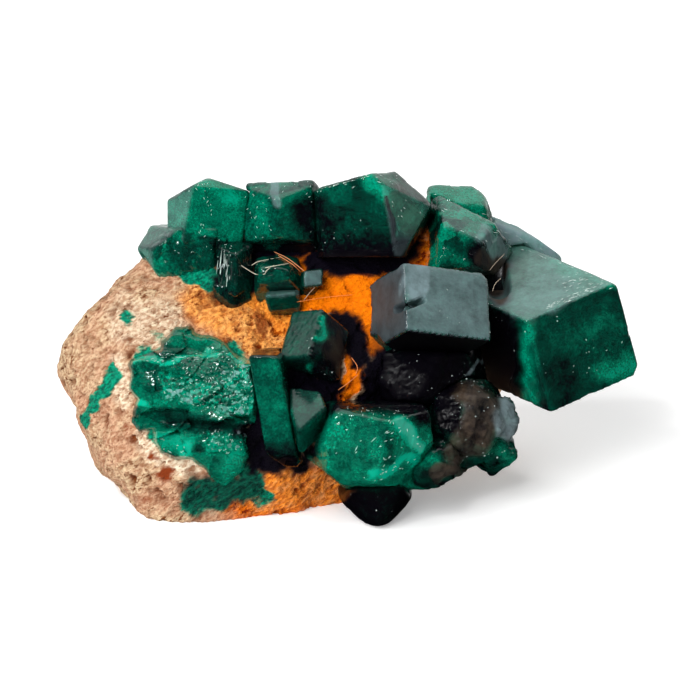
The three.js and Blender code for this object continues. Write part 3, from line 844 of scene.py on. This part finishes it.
def crust_mesh(node):
    """The sparkling lower left mass: a crust on the rock over a grid in the front view. Its thickness
    falls off at its outline, steps down from ledge to ledge, and is broken into facets."""
    outline = np.array(CRUST_OUTLINE)
    low, high = outline.min(axis=0) - 0.3, outline.max(axis=0) + 0.3
    columns, rows = np.ceil((high - low) / CRUST_SPACING).astype(int)
    upward, across = np.linspace(low[1], high[1], rows), np.linspace(low[0], high[0], columns)
    y, x = np.meshgrid(upward, across, indexing="ij")
    x, y = x.ravel(), y.ravel()
    flat = np.column_stack((x, y, np.zeros_like(x)))
    shift = wander(flat, 0.8)
    inside = depth_inside((flat + 0.14 * shift)[:, :2], outline)
    large, block = facets(flat / CRUST_BLOCKS + 3.3)
    ledge = np.interp(y + 0.3 * shift[:, 1] + 1.1 * (block - 0.5), *np.array(CRUST_LEDGES).T)
    fine = strokes(flat + 0.4 * shift, CRUST_SPARKLE)
    small, grain = facets(flat / CRUST_FACETS + 8.1)
    broken = CRUST_BLOCK_HEIGHT * large + (CRUST_FACET_HEIGHT + CRUST_FINE_HEIGHT * fine) * small
    thick = step(-0.1, 0.3, inside) * np.maximum(ledge + broken, CRUST_LEAST)
    thick = np.where(inside > 0, thick, -1.0)
    rock = rock_front(x, y)
    front = np.column_stack((x, y, rock + thick))
    back = np.column_stack((x, y, rock - CRUST_ROOT))
    index = np.arange(len(x)).reshape(rows, columns)
    quads = quads_between(index[:, :-1], index[:, 1:])
    rim = np.concatenate((index[0, :-1], index[:-1, -1], index[-1, :0:-1], index[:0:-1, 0]))
    walls = np.stack((rim, rim + len(x), np.roll(rim, -1) + len(x), np.roll(rim, -1)), axis=-1)
    view = np.vstack((front, back))
    mesh = bpy.data.meshes.new(node)
    at = part_of(view)
    at[:, 2] = np.maximum(at[:, 2], 0.0)
    mesh.from_pydata(at, [], quads.tolist() + (quads[:, ::-1] + len(x)).tolist() + walls.tolist())
    mesh.shade_smooth()
    mesh.set_sharp_from_angle(angle=CRUST_SHARPNESS)
    _, normals = vertex_data(mesh)
    # Painted sparkle: blocks and, where finely broken, small facets lighter or darker, the brightest given a
    # pale film as painted glints.
    shine = 0.3 * block + 0.6 * fine * grain
    paint_crystal(mesh, view, normals @ VIEW_AXES.T, node, CRUST_TONE, np.tile(shine, 2))
    return mesh


def smooth_path(knots, count):
    """Points along a curve that passes through the knots: a cubic between each pair, with slopes
    taken from the knots on both sides."""
    knots = np.asarray(knots, float)
    t = np.linspace(0, len(knots) - 1, count)
    i = np.minimum(t.astype(int), len(knots) - 2)
    f = (t - i)[:, None]
    slopes = np.gradient(knots, axis=0)
    a, b, sa, sb = knots[i], knots[i + 1], slopes[i], slopes[i + 1]
    return (a * (2 * f**3 - 3 * f**2 + 1) + sa * (f**3 - 2 * f**2 + f)
            + b * (3 * f**2 - 2 * f**3) + sb * (f**3 - f**2))


def fibre_tube(knots, radius, sides=6, count=28):
    """A thin round tube: a circle carried along a smooth path, closed to a point at both ends."""
    path = smooth_path(knots, count)
    ahead = np.gradient(path, axis=0)
    ahead /= np.linalg.norm(ahead, axis=1)[:, None]
    side = np.cross(ahead, (0.0, 0.0, 1.0))
    side /= np.linalg.norm(side, axis=1)[:, None]
    up = np.cross(side, ahead)
    turn = np.linspace(0, 2 * math.pi, sides, endpoint=False)
    taper = np.minimum(1, np.minimum(np.arange(count), np.arange(count)[::-1]) / 2 + 0.3)
    ring = (np.cos(turn)[None, :, None] * side[:, None] + np.sin(turn)[None, :, None] * up[:, None])
    tube = path[:, None] + radius * taper[:, None, None] * ring
    index = np.arange(count * sides).reshape(count, sides)
    quads = quads_between(index, np.roll(index, -1, axis=1))
    return tube.reshape(-1, 3), quads, (index[0, ::-1], index[-1])


def fibres_mesh():
    """All the lint fibres in one mesh, each painted with how ochre it is."""
    look = bpy.context.scene.dioptase
    points, faces, ochre = [], [], []
    for tint, knots in FIBRES:
        tube, quads, ends = fibre_tube(knots, look.fibre_width / MM / 2)
        base = sum(len(one) for one in points)
        faces += (quads + base).tolist() + [(end + base).tolist() for end in ends]
        points.append(tube)
        ochre.append(np.full(len(tube), tint))
    mesh = bpy.data.meshes.new("lint_fibres")
    mesh.from_pydata(part_of(np.vstack(points)), [], faces)
    mesh.shade_smooth()
    paint(mesh, "ochre", np.concatenate(ochre))
    return mesh


def displayed(meshes):
    """Front-view places of the vertices that face the viewer."""
    data = [vertex_data(mesh) for mesh in meshes]
    view = view_of(np.vstack([at for at, _ in data]))
    return view[(np.vstack([normals for _, normals in data]) @ VIEW_AXES.T)[:, 2] > 0.3]


def grains_mesh(name, places, grains):
    """Small eight-sided grains at the places, each with its own three half lengths as vectors."""
    points = places[:, None] + SPECK @ grains
    faces = SPECK_FACES + len(SPECK) * np.arange(len(places))[:, None, None]
    mesh = bpy.data.meshes.new(name)
    mesh.from_pydata(part_of(points.reshape(-1, 3)), [], faces.reshape(-1, 3).tolist())
    return mesh


def dust_mesh(view):
    """Specks of dust scattered along the dust paths, each of its own size and stretched at random."""
    random = np.random.default_rng(DUST_SEED)
    places = np.vstack([
        random.choice(view[near_path(view, path, width) > 0.1], count) for path, width, count in DUST])
    sizes = random.uniform(*DUST_SIZES, (len(places), 1, 1))
    stretch = random.uniform(*DUST_STRETCH, (len(places), 1, 3))
    return grains_mesh("dust_specks", places, sizes * stretch * np.eye(3))


def slivers_mesh(view):
    """Thin pale slivers, chips and painted glints, scattered along the sliver paths, each laid near its
    path's direction.
    """
    random = np.random.default_rng(SLIVER_SEED)
    places, grains = [], []
    for path, width, count, longest, turn, stray in SLIVERS:
        places.append(random.choice(view[near_path(view, path, width) > 0.1], count))
        way = np.radians(turn + random.normal(0, stray, count))
        along = np.column_stack((np.cos(way), np.sin(way), np.zeros(count)))
        half = 0.5 * longest * random.uniform(0.2, 1, (count, 1))
        across = np.column_stack((-along[:, 1], along[:, 0], along[:, 2]))
        towards = np.tile((0.0, 0.0, SLIVER_WIDTH), (count, 1))
        grains.append(np.stack((half * along, 0.5 * SLIVER_WIDTH * across, towards), axis=1))
    return grains_mesh("glint_slivers", np.vstack(places), np.vstack(grains))


def sandy_rock():
    """Weathered sandstone: matt, grainy tan, stained cream, ochre, orange and rusty by iron.

    The eye sees pale grains with brown pits between, warm orange where iron soaked in, thin crusts of green
    where dioptase began to grow, and near-black painted shade where the rock lies in shadow between and under
    the crystals.
    """
    look = bpy.context.scene.dioptase
    material, tree = new_material("iron_stained_sandstone")
    place = add(tree, "ShaderNodeTexCoord").outputs["Object"]
    # The rock crumbles along slanting beds, so its patterns are drawn out along them.
    bedded = add(tree, "ShaderNodeMapping", {
        "Vector": place, "Rotation": (0, -BED_SLANT, 0), "Scale": (1.9, 1.3, 1)}, vector_type="TEXTURE")
    painted = {name: add(tree, "ShaderNodeAttribute", attribute_name=name).outputs["Fac"]
               for name in (*ROCK_STAINS_AND_SHADE, "pit")}
    # Each pattern: how many times it repeats over a grain's width, and the noise levels where it
    # begins and is full.
    patterns = {"patches": (0.12, 0.42, 0.58), "grains": (1.2, 0.60, 0.40), "specks": (1.9, 0.40, 0.33),
                "holes": (0.8, 0.46, 0.38), "loose": (0.12, 0.46, 0.58), "spots": (0.2, 0.70, 0.74),
                "ragged": (0.5, 0.3, 0.7), "relief": (1.2, 0.3, 0.7)}
    spread = {}
    for name, (repeats, begin, full) in patterns.items():
        cloud = add(tree, "ShaderNodeTexNoise", {
            "Vector": bedded.outputs["Vector"], "Scale": repeats / look.grain_size, "Detail": 4.0,
            "Roughness": 0.6})
        spread[name] = add(tree, "ShaderNodeMapRange", {
            "Value": cloud.outputs["Fac"], "From Min": begin, "From Max": full}).outputs["Result"]
    crusted = add(tree, "ShaderNodeMath", {0: spread["ragged"], 1: 0.5, 2: painted["green"]},
                  operation="MULTIPLY_ADD")
    green = add(tree, "ShaderNodeMapRange", {
        "Value": crusted.outputs[0], "From Min": 0.52, "From Max": 0.98}).outputs["Result"]
    iron = add(tree, "ShaderNodeMath", {0: spread["ragged"], 1: painted["orange"]}, operation="MULTIPLY")
    soaked = add(tree, "ShaderNodeMath", {0: painted["orange"], 1: 0.6, 2: iron.outputs[0]},
                 operation="MULTIPLY_ADD", use_clamp=True)
    crumbled = add(tree, "ShaderNodeMath", {0: spread["holes"], 1: spread["loose"]}, operation="MULTIPLY")
    # In the recess the iron coats the grains.
    coated = add(tree, "ShaderNodeMapRange", {
        "Value": painted["orange"], "From Min": 0.9, "From Max": 1.6, "To Max": 0.6})
    crust = add(tree, "ShaderNodeMix", {
        "Factor": spread["grains"], "A": (*look.crystal_mid, 1), "B": (*look.crystal_deep, 1)},
        data_type="RGBA")
    colour = (*look.rock_tan, 1)
    for amount, tint, mode in (
            (spread["patches"], (*look.rock_pale, 1), "MIX"),
            (painted["cream"], (*look.rock_cream, 1), "MIX"),
            (soaked.outputs[0], (*look.rock_orange, 1), "MIX"),
            (painted["ochre"], (*look.rock_ochre, 1), "MIX"),
            (spread["grains"], (*look.rock_shade, 1), "MULTIPLY"),
            (spread["specks"], (*look.rock_brown, 1), "MULTIPLY"),
            (crumbled.outputs[0], (*look.rock_brown, 1), "MULTIPLY"),
            (painted["pit"], (*look.rock_brown, 1), "MULTIPLY"),
            (coated.outputs["Result"], (*look.rock_orange, 1), "MIX"),
            (spread["spots"], (*look.rock_rust, 1), "MIX"),
            (painted["rust"], (*look.rock_rust, 1), "MIX"),
            (green, crust.outputs["Result"], "MIX"),
            # Painted shade: the dark paint lays near black over the rock where it lies in shadow between and
            # under the crystals.
            (painted["dark"], (*look.crystal_black, 1), "MIX")):
        layer = add(tree, "ShaderNodeMix", {"Factor": amount, "A": colour, "B": tint},
                    data_type="RGBA", blend_type=mode)
        colour = layer.outputs["Result"]
    rough = add(tree, "ShaderNodeMapRange", {"Value": green, "To Min": 0.95, "To Max": 0.3})
    bump = add(tree, "ShaderNodeBump", {
        "Height": spread["relief"], "Strength": 0.9, "Distance": 0.6 * look.grain_size})
    shader = add(tree, "ShaderNodeBsdfPrincipled", {
        "Base Color": colour, "Roughness": rough.outputs["Result"],
        "Normal": bump.outputs["Normal"], "IOR": ROCK_IOR, "Specular IOR Level": 0.2})
    add(tree, "ShaderNodeOutputMaterial", {"Surface": shader.outputs["BSDF"]})
    return material


def dioptase(name, roughness):
    """Dioptase: glassy emerald crystal with cloudy veils, clear at thin edges and nearly black where deep.

    The eye sees mirror-bright faces over a saturated green that shifts from black to bright emerald.
    The painted tone says how bright the crystal is inside, and where it carries painted shade and painted
    glow; the painted grime where brown dirt lies and where painted shade darkens a crevice; and the painted
    film where the face is dulled or scratched and where a painted grey sheen stands for the sky it mirrors.
    """
    look = bpy.context.scene.dioptase
    material, tree = new_material(name)
    place = add(tree, "ShaderNodeTexCoord").outputs["Object"]
    painted = {key: add(tree, "ShaderNodeAttribute", attribute_name=key).outputs["Fac"]
               for key in ("tone", "grime_and_shade", "film_and_sheen")}
    veil = add(tree, "ShaderNodeTexNoise", {
        "Vector": place, "Scale": 1 / look.veil_size, "Detail": 6.0, "Roughness": 0.78, "Distortion": 0.2})
    specks = add(tree, "ShaderNodeTexNoise", {
        "Vector": place, "Scale": 1 / (0.09 * look.veil_size), "Detail": 2.0})
    cloud = add(tree, "ShaderNodeMath", {0: veil.outputs["Fac"], 1: VEIL_SHARE, 2: painted["tone"]},
                operation="MULTIPLY_ADD")
    speckled = add(tree, "ShaderNodeMath", {
        0: specks.outputs["Fac"], 1: SPECKLE_SHARE, 2: cloud.outputs[0]}, operation="MULTIPLY_ADD")
    # Both noises lie round a half, so half of their shares comes off again.
    level = add(tree, "ShaderNodeMath", {
        0: speckled.outputs[0], 1: 0.5 * (VEIL_SHARE + SPECKLE_SHARE)}, operation="SUBTRACT")
    ramp = add(tree, "ShaderNodeValToRGB", {"Fac": level.outputs[0]})
    stops = ((0.0, look.crystal_black), (0.35, look.crystal_deep), (0.65, look.crystal_mid),
             (1.0, look.crystal_bright))
    while len(ramp.color_ramp.elements) < len(stops):
        ramp.color_ramp.elements.new(0.5)
    for element, (position, colour) in zip(ramp.color_ramp.elements, stops):
        element.position = position
        element.color = (*colour, 1)
    patchy = add(tree, "ShaderNodeMapRange", {
        "Value": veil.outputs["Fac"], "From Min": 0.35, "From Max": 0.6})
    # Brown dirt patched with black, which also paints the shade in the crevices.
    dirt = add(tree, "ShaderNodeMix", {
        "Factor": patchy.outputs["Result"], "A": (*look.crystal_black, 1), "B": (*look.grime_and_shade, 1)},
        data_type="RGBA")
    smear = add(tree, "ShaderNodeMapRange", {
        "Value": veil.outputs["Fac"], "From Min": 0.15, "From Max": 0.58})
    # The grey film colour laid on in veiled patches: partly a real film, partly a painted sheen for the sky
    # that the faces mirror.
    film_and_sheen_share = add(tree, "ShaderNodeMath", {0: painted["film_and_sheen"], 1: smear.outputs["Result"]},
               operation="MULTIPLY")
    colour = ramp.outputs["Color"]
    for amount, tint in ((painted["grime_and_shade"], dirt.outputs["Result"]), (film_and_sheen_share.outputs[0], (*look.film_and_sheen, 1))):
        layer = add(tree, "ShaderNodeMix", {"Factor": amount, "A": colour, "B": tint}, data_type="RGBA")
        colour = layer.outputs["Result"]
    scratch = add(tree, "ShaderNodeTexNoise", {
        "Vector": place, "Scale": 1 / (0.15 * look.veil_size), "Detail": 4.0})
    bump = add(tree, "ShaderNodeBump", {
        "Height": scratch.outputs["Fac"], "Strength": 0.12, "Distance": 0.05 * look.veil_size})
    # Where the painted tone is blackest, much of it painted shade, the crystal is taken to be cracked and is
    # matt as under dirt, film and sheen.
    cracked = add(tree, "ShaderNodeMapRange", {
        "Value": painted["tone"], "From Min": 0.0, "From Max": -0.3, "To Min": roughness,
        "To Max": CRACKED_ROUGHNESS})
    coats = add(tree, "ShaderNodeMath", {0: painted["film_and_sheen"], 1: painted["grime_and_shade"]}, operation="ADD")
    matt = add(tree, "ShaderNodeMath", {0: coats.outputs[0], 1: 0.5, 2: cracked.outputs["Result"]},
               operation="MULTIPLY_ADD", use_clamp=True)
    shader = add(tree, "ShaderNodeBsdfPrincipled", {
        "Base Color": colour, "Roughness": matt.outputs[0], "IOR": DIOPTASE_IOR,
        "Transmission Weight": CLEARNESS, "Normal": bump.outputs["Normal"]})
    volume = add(tree, "ShaderNodeVolumeAbsorption", {
        "Color": (*look.crystal_bright, 1), "Density": ABSORPTION})
    add(tree, "ShaderNodeOutputMaterial", {
        "Surface": shader.outputs["BSDF"], "Volume": volume.outputs["Volume"]})
    return material


def lint_fibre():
    """Lint: fine matt threads, pale or stained ochre by the rock."""
    look = bpy.context.scene.dioptase
    material, tree = new_material("lint")
    ochre = add(tree, "ShaderNodeAttribute", attribute_name="ochre").outputs["Fac"]
    colour = add(tree, "ShaderNodeMix", {
        "Factor": ochre, "A": (*look.lint, 1), "B": (*look.rock_orange, 1)}, data_type="RGBA")
    shader = add(tree, "ShaderNodeBsdfPrincipled", {"Base Color": colour.outputs["Result"], "Roughness": 0.6})
    add(tree, "ShaderNodeOutputMaterial", {"Surface": shader.outputs["BSDF"]})
    return material


def pale_dust_and_glints(name, colour, roughness):
    """Dust and chips: tiny pale specks of grit, and pale slivers of broken crystal that also stand as painted
    glints.
    """
    material, tree = new_material(name)
    shader = add(tree, "ShaderNodeBsdfPrincipled", {"Base Color": (*colour, 1), "Roughness": roughness})
    add(tree, "ShaderNodeOutputMaterial", {"Surface": shader.outputs["BSDF"]})
    return material


class SpecimenLook(bpy.types.PropertyGroup):
    """Sizes and colours of the specimen's surfaces."""

    grain_size: FloatProperty(
        name="Grain size", description="Width of a sand grain in the rock",
        default=0.25 * MM, unit="LENGTH", precision=5)
    pit_depth: FloatProperty(
        name="Pit depth", description="Depth of the pits between the rock's grains",
        default=0.3 * MM, unit="LENGTH", precision=5)
    growth: FloatProperty(
        name="Crystal growth", description="How far each crystal face grows out to meet its neighbours",
        default=0.14 * MM, unit="LENGTH", precision=5)
    chip_depth: FloatProperty(
        name="Chip depth", description="Depth of the chips along the crystals' edges",
        default=0.1 * MM, unit="LENGTH", precision=5)
    veil_size: FloatProperty(
        name="Veil size", description="Width of the cloudy veils inside a crystal",
        default=1.6 * MM, unit="LENGTH", precision=5)
    fibre_width: FloatProperty(
        name="Fibre width", description="Thickness of a lint fibre",
        default=0.045 * MM, unit="LENGTH", precision=5)
    rock_tan: FloatVectorProperty(
        name="Tan", description="Main colour of the rock",
        subtype="COLOR", default=linear("#CFA686"))
    rock_pale: FloatVectorProperty(
        name="Pale", description="Paler patches of the rock",
        subtype="COLOR", default=linear("#D6BC98"))
    rock_brown: FloatVectorProperty(
        name="Brown", description="Tint of the pits and specks of the rock",
        subtype="COLOR", default=linear("#94603C"))
    rock_shade: FloatVectorProperty(
        name="Shade", description="Tint of the rock's darker grains",
        subtype="COLOR", default=linear("#CCB4A8"))
    rock_cream: FloatVectorProperty(
        name="Cream", description="Palest patches of the rock",
        subtype="COLOR", default=linear("#F2E2C6"))
    rock_orange: FloatVectorProperty(
        name="Orange", description="Rock soaked with iron",
        subtype="COLOR", default=linear("#F87E06"))
    rock_ochre: FloatVectorProperty(
        name="Ochre", description="Rock lightly stained by iron",
        subtype="COLOR", default=linear("#FFB654"))
    rock_rust: FloatVectorProperty(
        name="Rust", description="Rusty spots on the rock",
        subtype="COLOR", default=linear("#7E3414"))
    crystal_bright: FloatVectorProperty(
        name="Bright emerald", description="Brightest veils in the crystals",
        subtype="COLOR", default=linear("#00D2AA"))
    crystal_mid: FloatVectorProperty(
        name="Emerald", description="Main colour of the crystals",
        subtype="COLOR", default=linear("#009370"))
    crystal_deep: FloatVectorProperty(
        name="Deep emerald", description="Clear depths of the crystals",
        subtype="COLOR", default=linear("#004E3E"))
    crystal_black: FloatVectorProperty(
        name="Black", description="Deepest shadow in the crystals",
        subtype="COLOR", default=linear("#0A0710"))
    # Also the colour of the painted shade in the crevices between crystals.
    grime_and_shade: FloatVectorProperty(
        name="Dirt", description="Brown dirt on the crystals",
        subtype="COLOR", default=linear("#5E4C3C"))
    # Also the colour of the painted grey sheen that stands for the sky mirrored in the crystal faces.
    film_and_sheen: FloatVectorProperty(
        name="Film", description="Grey film that dulls some crystal faces",
        subtype="COLOR", default=linear("#A8C4CC"))
    lint: FloatVectorProperty(
        name="Lint", description="Colour of the lint fibres",
        subtype="COLOR", default=linear("#D8CDB8"))
    dust: FloatVectorProperty(
        name="Dust", description="Colour of the dust specks",
        subtype="COLOR", default=linear("#AEBCB8"))
    # The slivers' pale colour is partly chips and partly painted glints.
    chips: FloatVectorProperty(
        name="Chips", description="Colour of the bright slivers where crystals are chipped",
        subtype="COLOR", default=linear("#DDEEE8"))


def crystal_pieces(crystals, material):
    """Builds every crystal of a table as a piece."""
    for node, style in crystals.items():
        new_piece(node + "_look", crystal_mesh(node, style), material, node)


class DIOPTASE_OT_rock(bpy.types.Operator):
    """Builds the lump of sandy rock that the crystals grew on"""

    bl_idname = "dioptase.rock"
    bl_label = "Rock"

    def execute(self, context):
        new_piece("matrix_rock", rock_mesh(), sandy_rock(), "matrix")
        return {"FINISHED"}


class DIOPTASE_OT_clear_crystals(bpy.types.Operator):
    """Builds the glassy crystals with flat, bright faces"""

    bl_idname = "dioptase.clear_crystals"
    bl_label = "Clear crystals"

    def execute(self, context):
        crystal_pieces(CLEAR_CRYSTALS, dioptase("clear_dioptase", CLEAR_ROUGHNESS))
        return {"FINISHED"}


class DIOPTASE_OT_broken_crystals(bpy.types.Operator):
    """Builds the crystals with stepped and broken faces"""

    bl_idname = "dioptase.broken_crystals"
    bl_label = "Broken crystals"

    def execute(self, context):
        material = dioptase("broken_dioptase", BROKEN_ROUGHNESS)
        crystal_pieces(BROKEN_CRYSTALS, material)
        new_piece(CRUST + "_look", crust_mesh(CRUST), material, CRUST)
        return {"FINISHED"}


class DIOPTASE_OT_small_crystals(bpy.types.Operator):
    """Builds the small crystals in the recess"""

    bl_idname = "dioptase.small_crystals"
    bl_label = "Small crystals"

    def execute(self, context):
        crystal_pieces(SMALL_CRYSTALS, dioptase("small_dioptase", SMALL_ROUGHNESS))
        return {"FINISHED"}


class DIOPTASE_OT_lint(bpy.types.Operator):
    """Builds the lint fibres, the dust specks and the pale chipped slivers, which also stand as painted
    glints, on the crystals
    """

    bl_idname = "dioptase.lint"
    bl_label = "Lint and dust"

    def execute(self, context):
        look = context.scene.dioptase
        nodes = (*CLEAR_CRYSTALS, *BROKEN_CRYSTALS, CRUST)
        view = displayed([context.scene.objects[node + "_look"].data for node in nodes])
        dust = pale_dust_and_glints("dust", look.dust, DUST_ROUGHNESS)
        chips = pale_dust_and_glints("chipped_dioptase_and_glints", look.chips, CHIP_ROUGHNESS)
        new_piece("lint_fibres", fibres_mesh(), lint_fibre(), None)
        new_piece("dust_specks", dust_mesh(view), dust, None)
        new_piece("glint_slivers", slivers_mesh(view), chips, None)
        return {"FINISHED"}


def soft_light(name, view, power, size):
    """A square light, in watts and millimetres, placed in the front view's frame and aimed at its middle."""
    lamp = bpy.data.lights.new(name, "AREA")
    lamp.energy = power
    lamp.size = size * MM
    holder = bpy.data.objects.new(name, lamp)
    bpy.context.scene.collection.objects.link(holder)
    place = Vector(part_of(view))
    turned = (place - Vector(VIEW_CENTRE * MM)).to_track_quat("Z", "Y").to_matrix().to_4x4()
    holder.matrix_world = Matrix.Translation(place) @ turned
    return holder


def pale_floor():
    """A plain pale floor that the crystal faces don't mirror."""
    corners = [(x * FLOOR_HALF, y * FLOOR_HALF, 0) for x, y in ((-1, -1), (1, -1), (1, 1), (-1, 1))]
    mesh = bpy.data.meshes.new("floor")
    mesh.from_pydata(corners, [], [(0, 1, 2, 3)])
    material, tree = new_material("pale_paper")
    shader = add(tree, "ShaderNodeBsdfPrincipled", {
        "Base Color": (0.9, 0.9, 0.9, 1), "Roughness": 0.9,
        "Emission Color": (1, 1, 1, 1), "Emission Strength": FLOOR_GLOW})
    add(tree, "ShaderNodeOutputMaterial", {"Surface": shader.outputs["BSDF"]})
    mesh.materials.append(material)
    floor = bpy.data.objects.new("floor", mesh)
    bpy.context.scene.collection.objects.link(floor)
    floor.visible_glossy = False
    floor.visible_transmission = False


def studio_sky():
    """White paper behind and above, dimmer to the left, dark in front so that the crystals look deep."""
    world = bpy.data.worlds.new("studio")
    world.use_nodes = True
    tree = world.node_tree
    tree.nodes.clear()
    way = add(tree, "ShaderNodeTexCoord").outputs["Generated"]
    rays = add(tree, "ShaderNodeLightPath").outputs
    behind = add(tree, "ShaderNodeVectorMath", {0: way, 1: SKY_BEHIND}, operation="DOT_PRODUCT")
    axes = add(tree, "ShaderNodeSeparateXYZ", {"Vector": way}).outputs
    # Each ramp: where along the direction it begins and is full, and what is left before it begins.
    strength = SKY_STRENGTH
    for value, begin, full, least in (
            (behind.outputs["Value"], 0.35, 0.65, 0.01),
            (axes["Z"], -0.34, -0.18, 0.0),
            (axes["X"], -0.8, -0.3, 0.5)):
        share = add(tree, "ShaderNodeMapRange", {
            "Value": value, "From Min": begin, "From Max": full, "To Min": least},
            interpolation_type="SMOOTHSTEP")
        strength = add(tree, "ShaderNodeMath", {0: share.outputs["Result"], 1: strength},
                       operation="MULTIPLY").outputs[0]
    sky = add(tree, "ShaderNodeBackground", {"Color": (1, 1, 1, 1), "Strength": strength})
    white = add(tree, "ShaderNodeBackground", {"Color": (1, 1, 1, 1), "Strength": 1.0})
    both = add(tree, "ShaderNodeMixShader", {
        0: rays["Is Camera Ray"], 1: sky.outputs[0], 2: white.outputs[0]})
    add(tree, "ShaderNodeOutputWorld", {"Surface": both.outputs[0]})
    return world


def front_camera():
    """A long lens on the front view, far enough off for little perspective."""
    lens = bpy.data.cameras.new("front view")
    lens.sensor_width = SENSOR
    lens.lens = SENSOR * CAMERA_DISTANCE / VIEW_WIDTH
    lens.clip_start = CLIP_START
    camera = bpy.data.objects.new("front view", lens)
    bpy.context.scene.collection.objects.link(camera)
    turned = Matrix([list(axis) for axis in VIEW_AXES]).transposed().to_4x4()
    camera.matrix_world = Matrix.Translation(Vector(part_of((0, 0, CAMERA_DISTANCE)))) @ turned
    return camera


class DIOPTASE_OT_stage(bpy.types.Operator):
    """Sets the floor, the soft studio light and the camera"""

    bl_idname = "dioptase.stage"
    bl_label = "Stage"

    def execute(self, context):
        pale_floor()
        for name, (view, power, size, mirrored) in LIGHTS.items():
            light = soft_light(name, view, power, size)
            light.visible_glossy = mirrored
            light.visible_transmission = mirrored
        soft_light("left card", *LEFT_CARD).visible_diffuse = False
        context.scene.world = studio_sky()
        context.scene.camera = front_camera()
        context.scene.view_settings.view_transform = "Standard"
        return {"FINISHED"}


class DIOPTASE_PT_panel(bpy.types.Panel):
    """Lists the specimen's pieces and looks"""

    bl_label = "Dioptase specimen"
    bl_idname = "DIOPTASE_PT_panel"
    bl_space_type = "VIEW_3D"
    bl_region_type = "UI"
    bl_category = "Dioptase"

    def draw(self, context):
        look = context.scene.dioptase
        for name in SpecimenLook.__annotations__:
            self.layout.prop(look, name)
        for operator in OPERATORS:
            self.layout.operator(operator.bl_idname)


OPERATORS = (DIOPTASE_OT_rock, DIOPTASE_OT_clear_crystals, DIOPTASE_OT_broken_crystals,
             DIOPTASE_OT_small_crystals, DIOPTASE_OT_lint, DIOPTASE_OT_stage)
CLASSES = (SpecimenLook, *OPERATORS, DIOPTASE_PT_panel)


def register():
    for one in CLASSES:
        bpy.utils.register_class(one)
    bpy.types.Scene.dioptase = PointerProperty(type=SpecimenLook)


def unregister():
    del bpy.types.Scene.dioptase
    for one in reversed(CLASSES):
        bpy.utils.unregister_class(one)


def main():
    register()
    bpy.ops.dioptase.rock()
    bpy.ops.dioptase.clear_crystals()
    bpy.ops.dioptase.broken_crystals()
    bpy.ops.dioptase.small_crystals()
    bpy.ops.dioptase.lint()
    bpy.ops.dioptase.stage()


if __name__ == "__main__":
    main()
